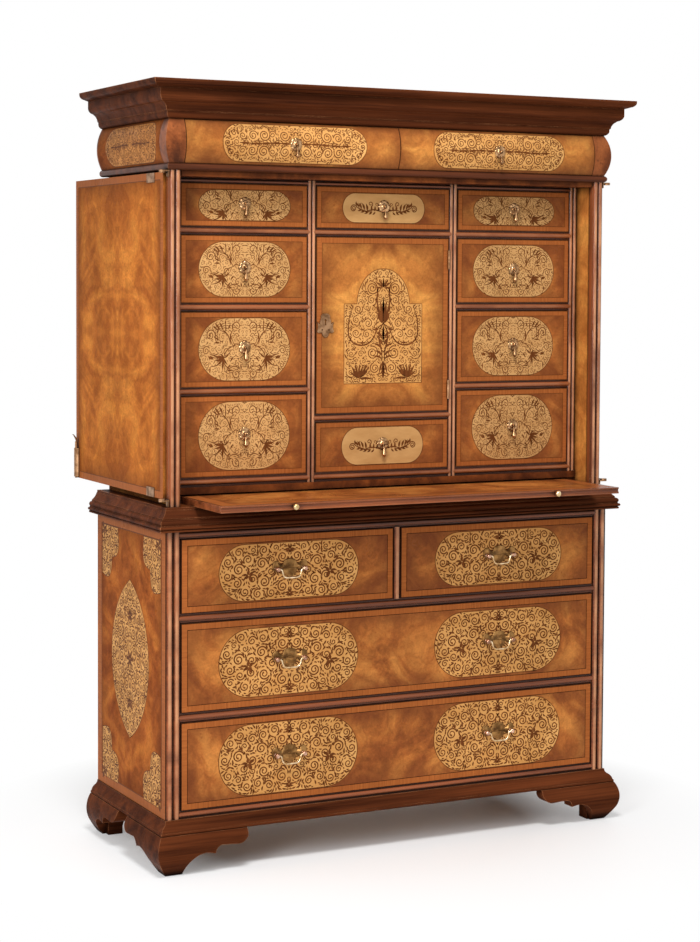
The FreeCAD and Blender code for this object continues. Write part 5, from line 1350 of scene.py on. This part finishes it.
# Where it stands, and how it is lit
# A pale floor that fades to white, a tall soft lamp on the left in front, a stronger one high above, and
# even light from all round. The camera stands where the photographer stood.
CAMERA_PLACE = (-2.2010, -4.2905, 1.2678)
CAMERA_AZIMUTH = np.radians(26.99)
CAMERA_PITCH = np.radians(2.909)
CAMERA_ROLL = np.radians(0.304)
FOCAL_LENGTH = 80.64
SENSOR = 36.0
RISE_SHARE = -0.0944
FLOOR_HALF = 9.0
FADE_START = 0.4
FADE_END = 0.95
WHITE = (1.0, 1.0, 1.0, 1.0)
FLOOR_PALE = (0.96, 0.96, 0.96, 1.0)
AIR_STRENGTH = 0.38

floor_mesh = bpy.data.meshes.new("studio_floor")
floor_corners = np.array([(-1, -1, 0), (1, -1, 0), (1, 1, 0), (-1, 1, 0)]) * FLOOR_HALF
floor_mesh.from_pydata(floor_corners.tolist(), [], [(0, 1, 2, 3)])
floor = bpy.data.objects.new("studio_floor", floor_mesh)
bpy.context.scene.collection.objects.link(floor)
floor_paint, tree, shader, coordinates, bump = surface("pale_floor")
fill(tree, shader, {"Base Color": FLOOR_PALE, "Roughness": 0.6})
distance = add(tree, "ShaderNodeVectorMath", {"operation": "LENGTH"},
               {0: coordinates["Object"]}).outputs["Value"]
rays = add(tree, "ShaderNodeLightPath", {}, {}).outputs
seen = sums(tree, "MAXIMUM", rays["Is Camera Ray"], rays["Is Glossy Ray"])
far = sums(tree, "MULTIPLY", spread(tree, distance, FADE_START, FADE_END), seen)
white = add(tree, "ShaderNodeEmission", {}, {"Color": WHITE, "Strength": 1.0})
both = add(tree, "ShaderNodeMixShader", {}, {0: far, 1: shader.outputs[0], 2: white.outputs[0]})
fill(tree, next(node for node in tree.nodes if node.type == "OUTPUT_MATERIAL"), {"Surface": both.outputs[0]})
floor_mesh.materials.append(floor_paint)

world = bpy.data.worlds.new("studio_air")
bpy.context.scene.world = world
world.use_nodes = True
tree = world.node_tree
rays = add(tree, "ShaderNodeLightPath", {}, {}).outputs
seen = sums(tree, "MAXIMUM", rays["Is Camera Ray"], rays["Is Glossy Ray"])
air = next(node for node in tree.nodes if node.type == "BACKGROUND")
fill(tree, air, {"Color": WHITE, "Strength": spread(tree, seen, 0.0, 1.0, AIR_STRENGTH, 1.0)})


def lamp(name, place, aim, size, power):
    """A soft lamp, so wide and so tall, that faces the point it is aimed at."""
    light = bpy.data.lights.new(name, "AREA")
    light.shape = "RECTANGLE"
    light.size, light.size_y = size
    light.energy = power
    piece = bpy.data.objects.new(name, light)
    bpy.context.scene.collection.objects.link(piece)
    away = np.array(place, float) - np.array(aim, float)
    turn = Matrix.Rotation(np.arctan2(away[0], -away[1]), 4, "Z")
    tilt = Matrix.Rotation(np.arctan2(np.hypot(away[0], away[1]), away[2]), 4, "X")
    piece.matrix_world = Matrix.Translation(place) @ turn @ tilt


lamp("left_lamp", (-3.2, -2.6, 2.0), (0.0, 0.0, 0.9), (1.0, 2.2), 92.0)
lamp("high_lamp", (-1.1, -2.2, 4.2), (0.0, 0.0, 0.8), (1.2, 0.9), 132.0)

lens = bpy.data.cameras.new("photo_camera")
lens.lens = FOCAL_LENGTH
lens.sensor_width = SENSOR
lens.sensor_height = SENSOR
lens.sensor_fit = "AUTO"
lens.shift_y = RISE_SHARE
camera = bpy.data.objects.new("photo_camera", lens)
bpy.context.scene.collection.objects.link(camera)
look = Matrix.Rotation(-CAMERA_AZIMUTH, 4, "Z") @ Matrix.Rotation(np.pi / 2 - CAMERA_PITCH, 4, "X")
camera.matrix_world = Matrix.Translation(CAMERA_PLACE) @ look @ Matrix.Rotation(CAMERA_ROLL, 4, "Z")
bpy.context.scene.camera = camera
bpy.context.scene.view_settings.view_transform = "Standard"
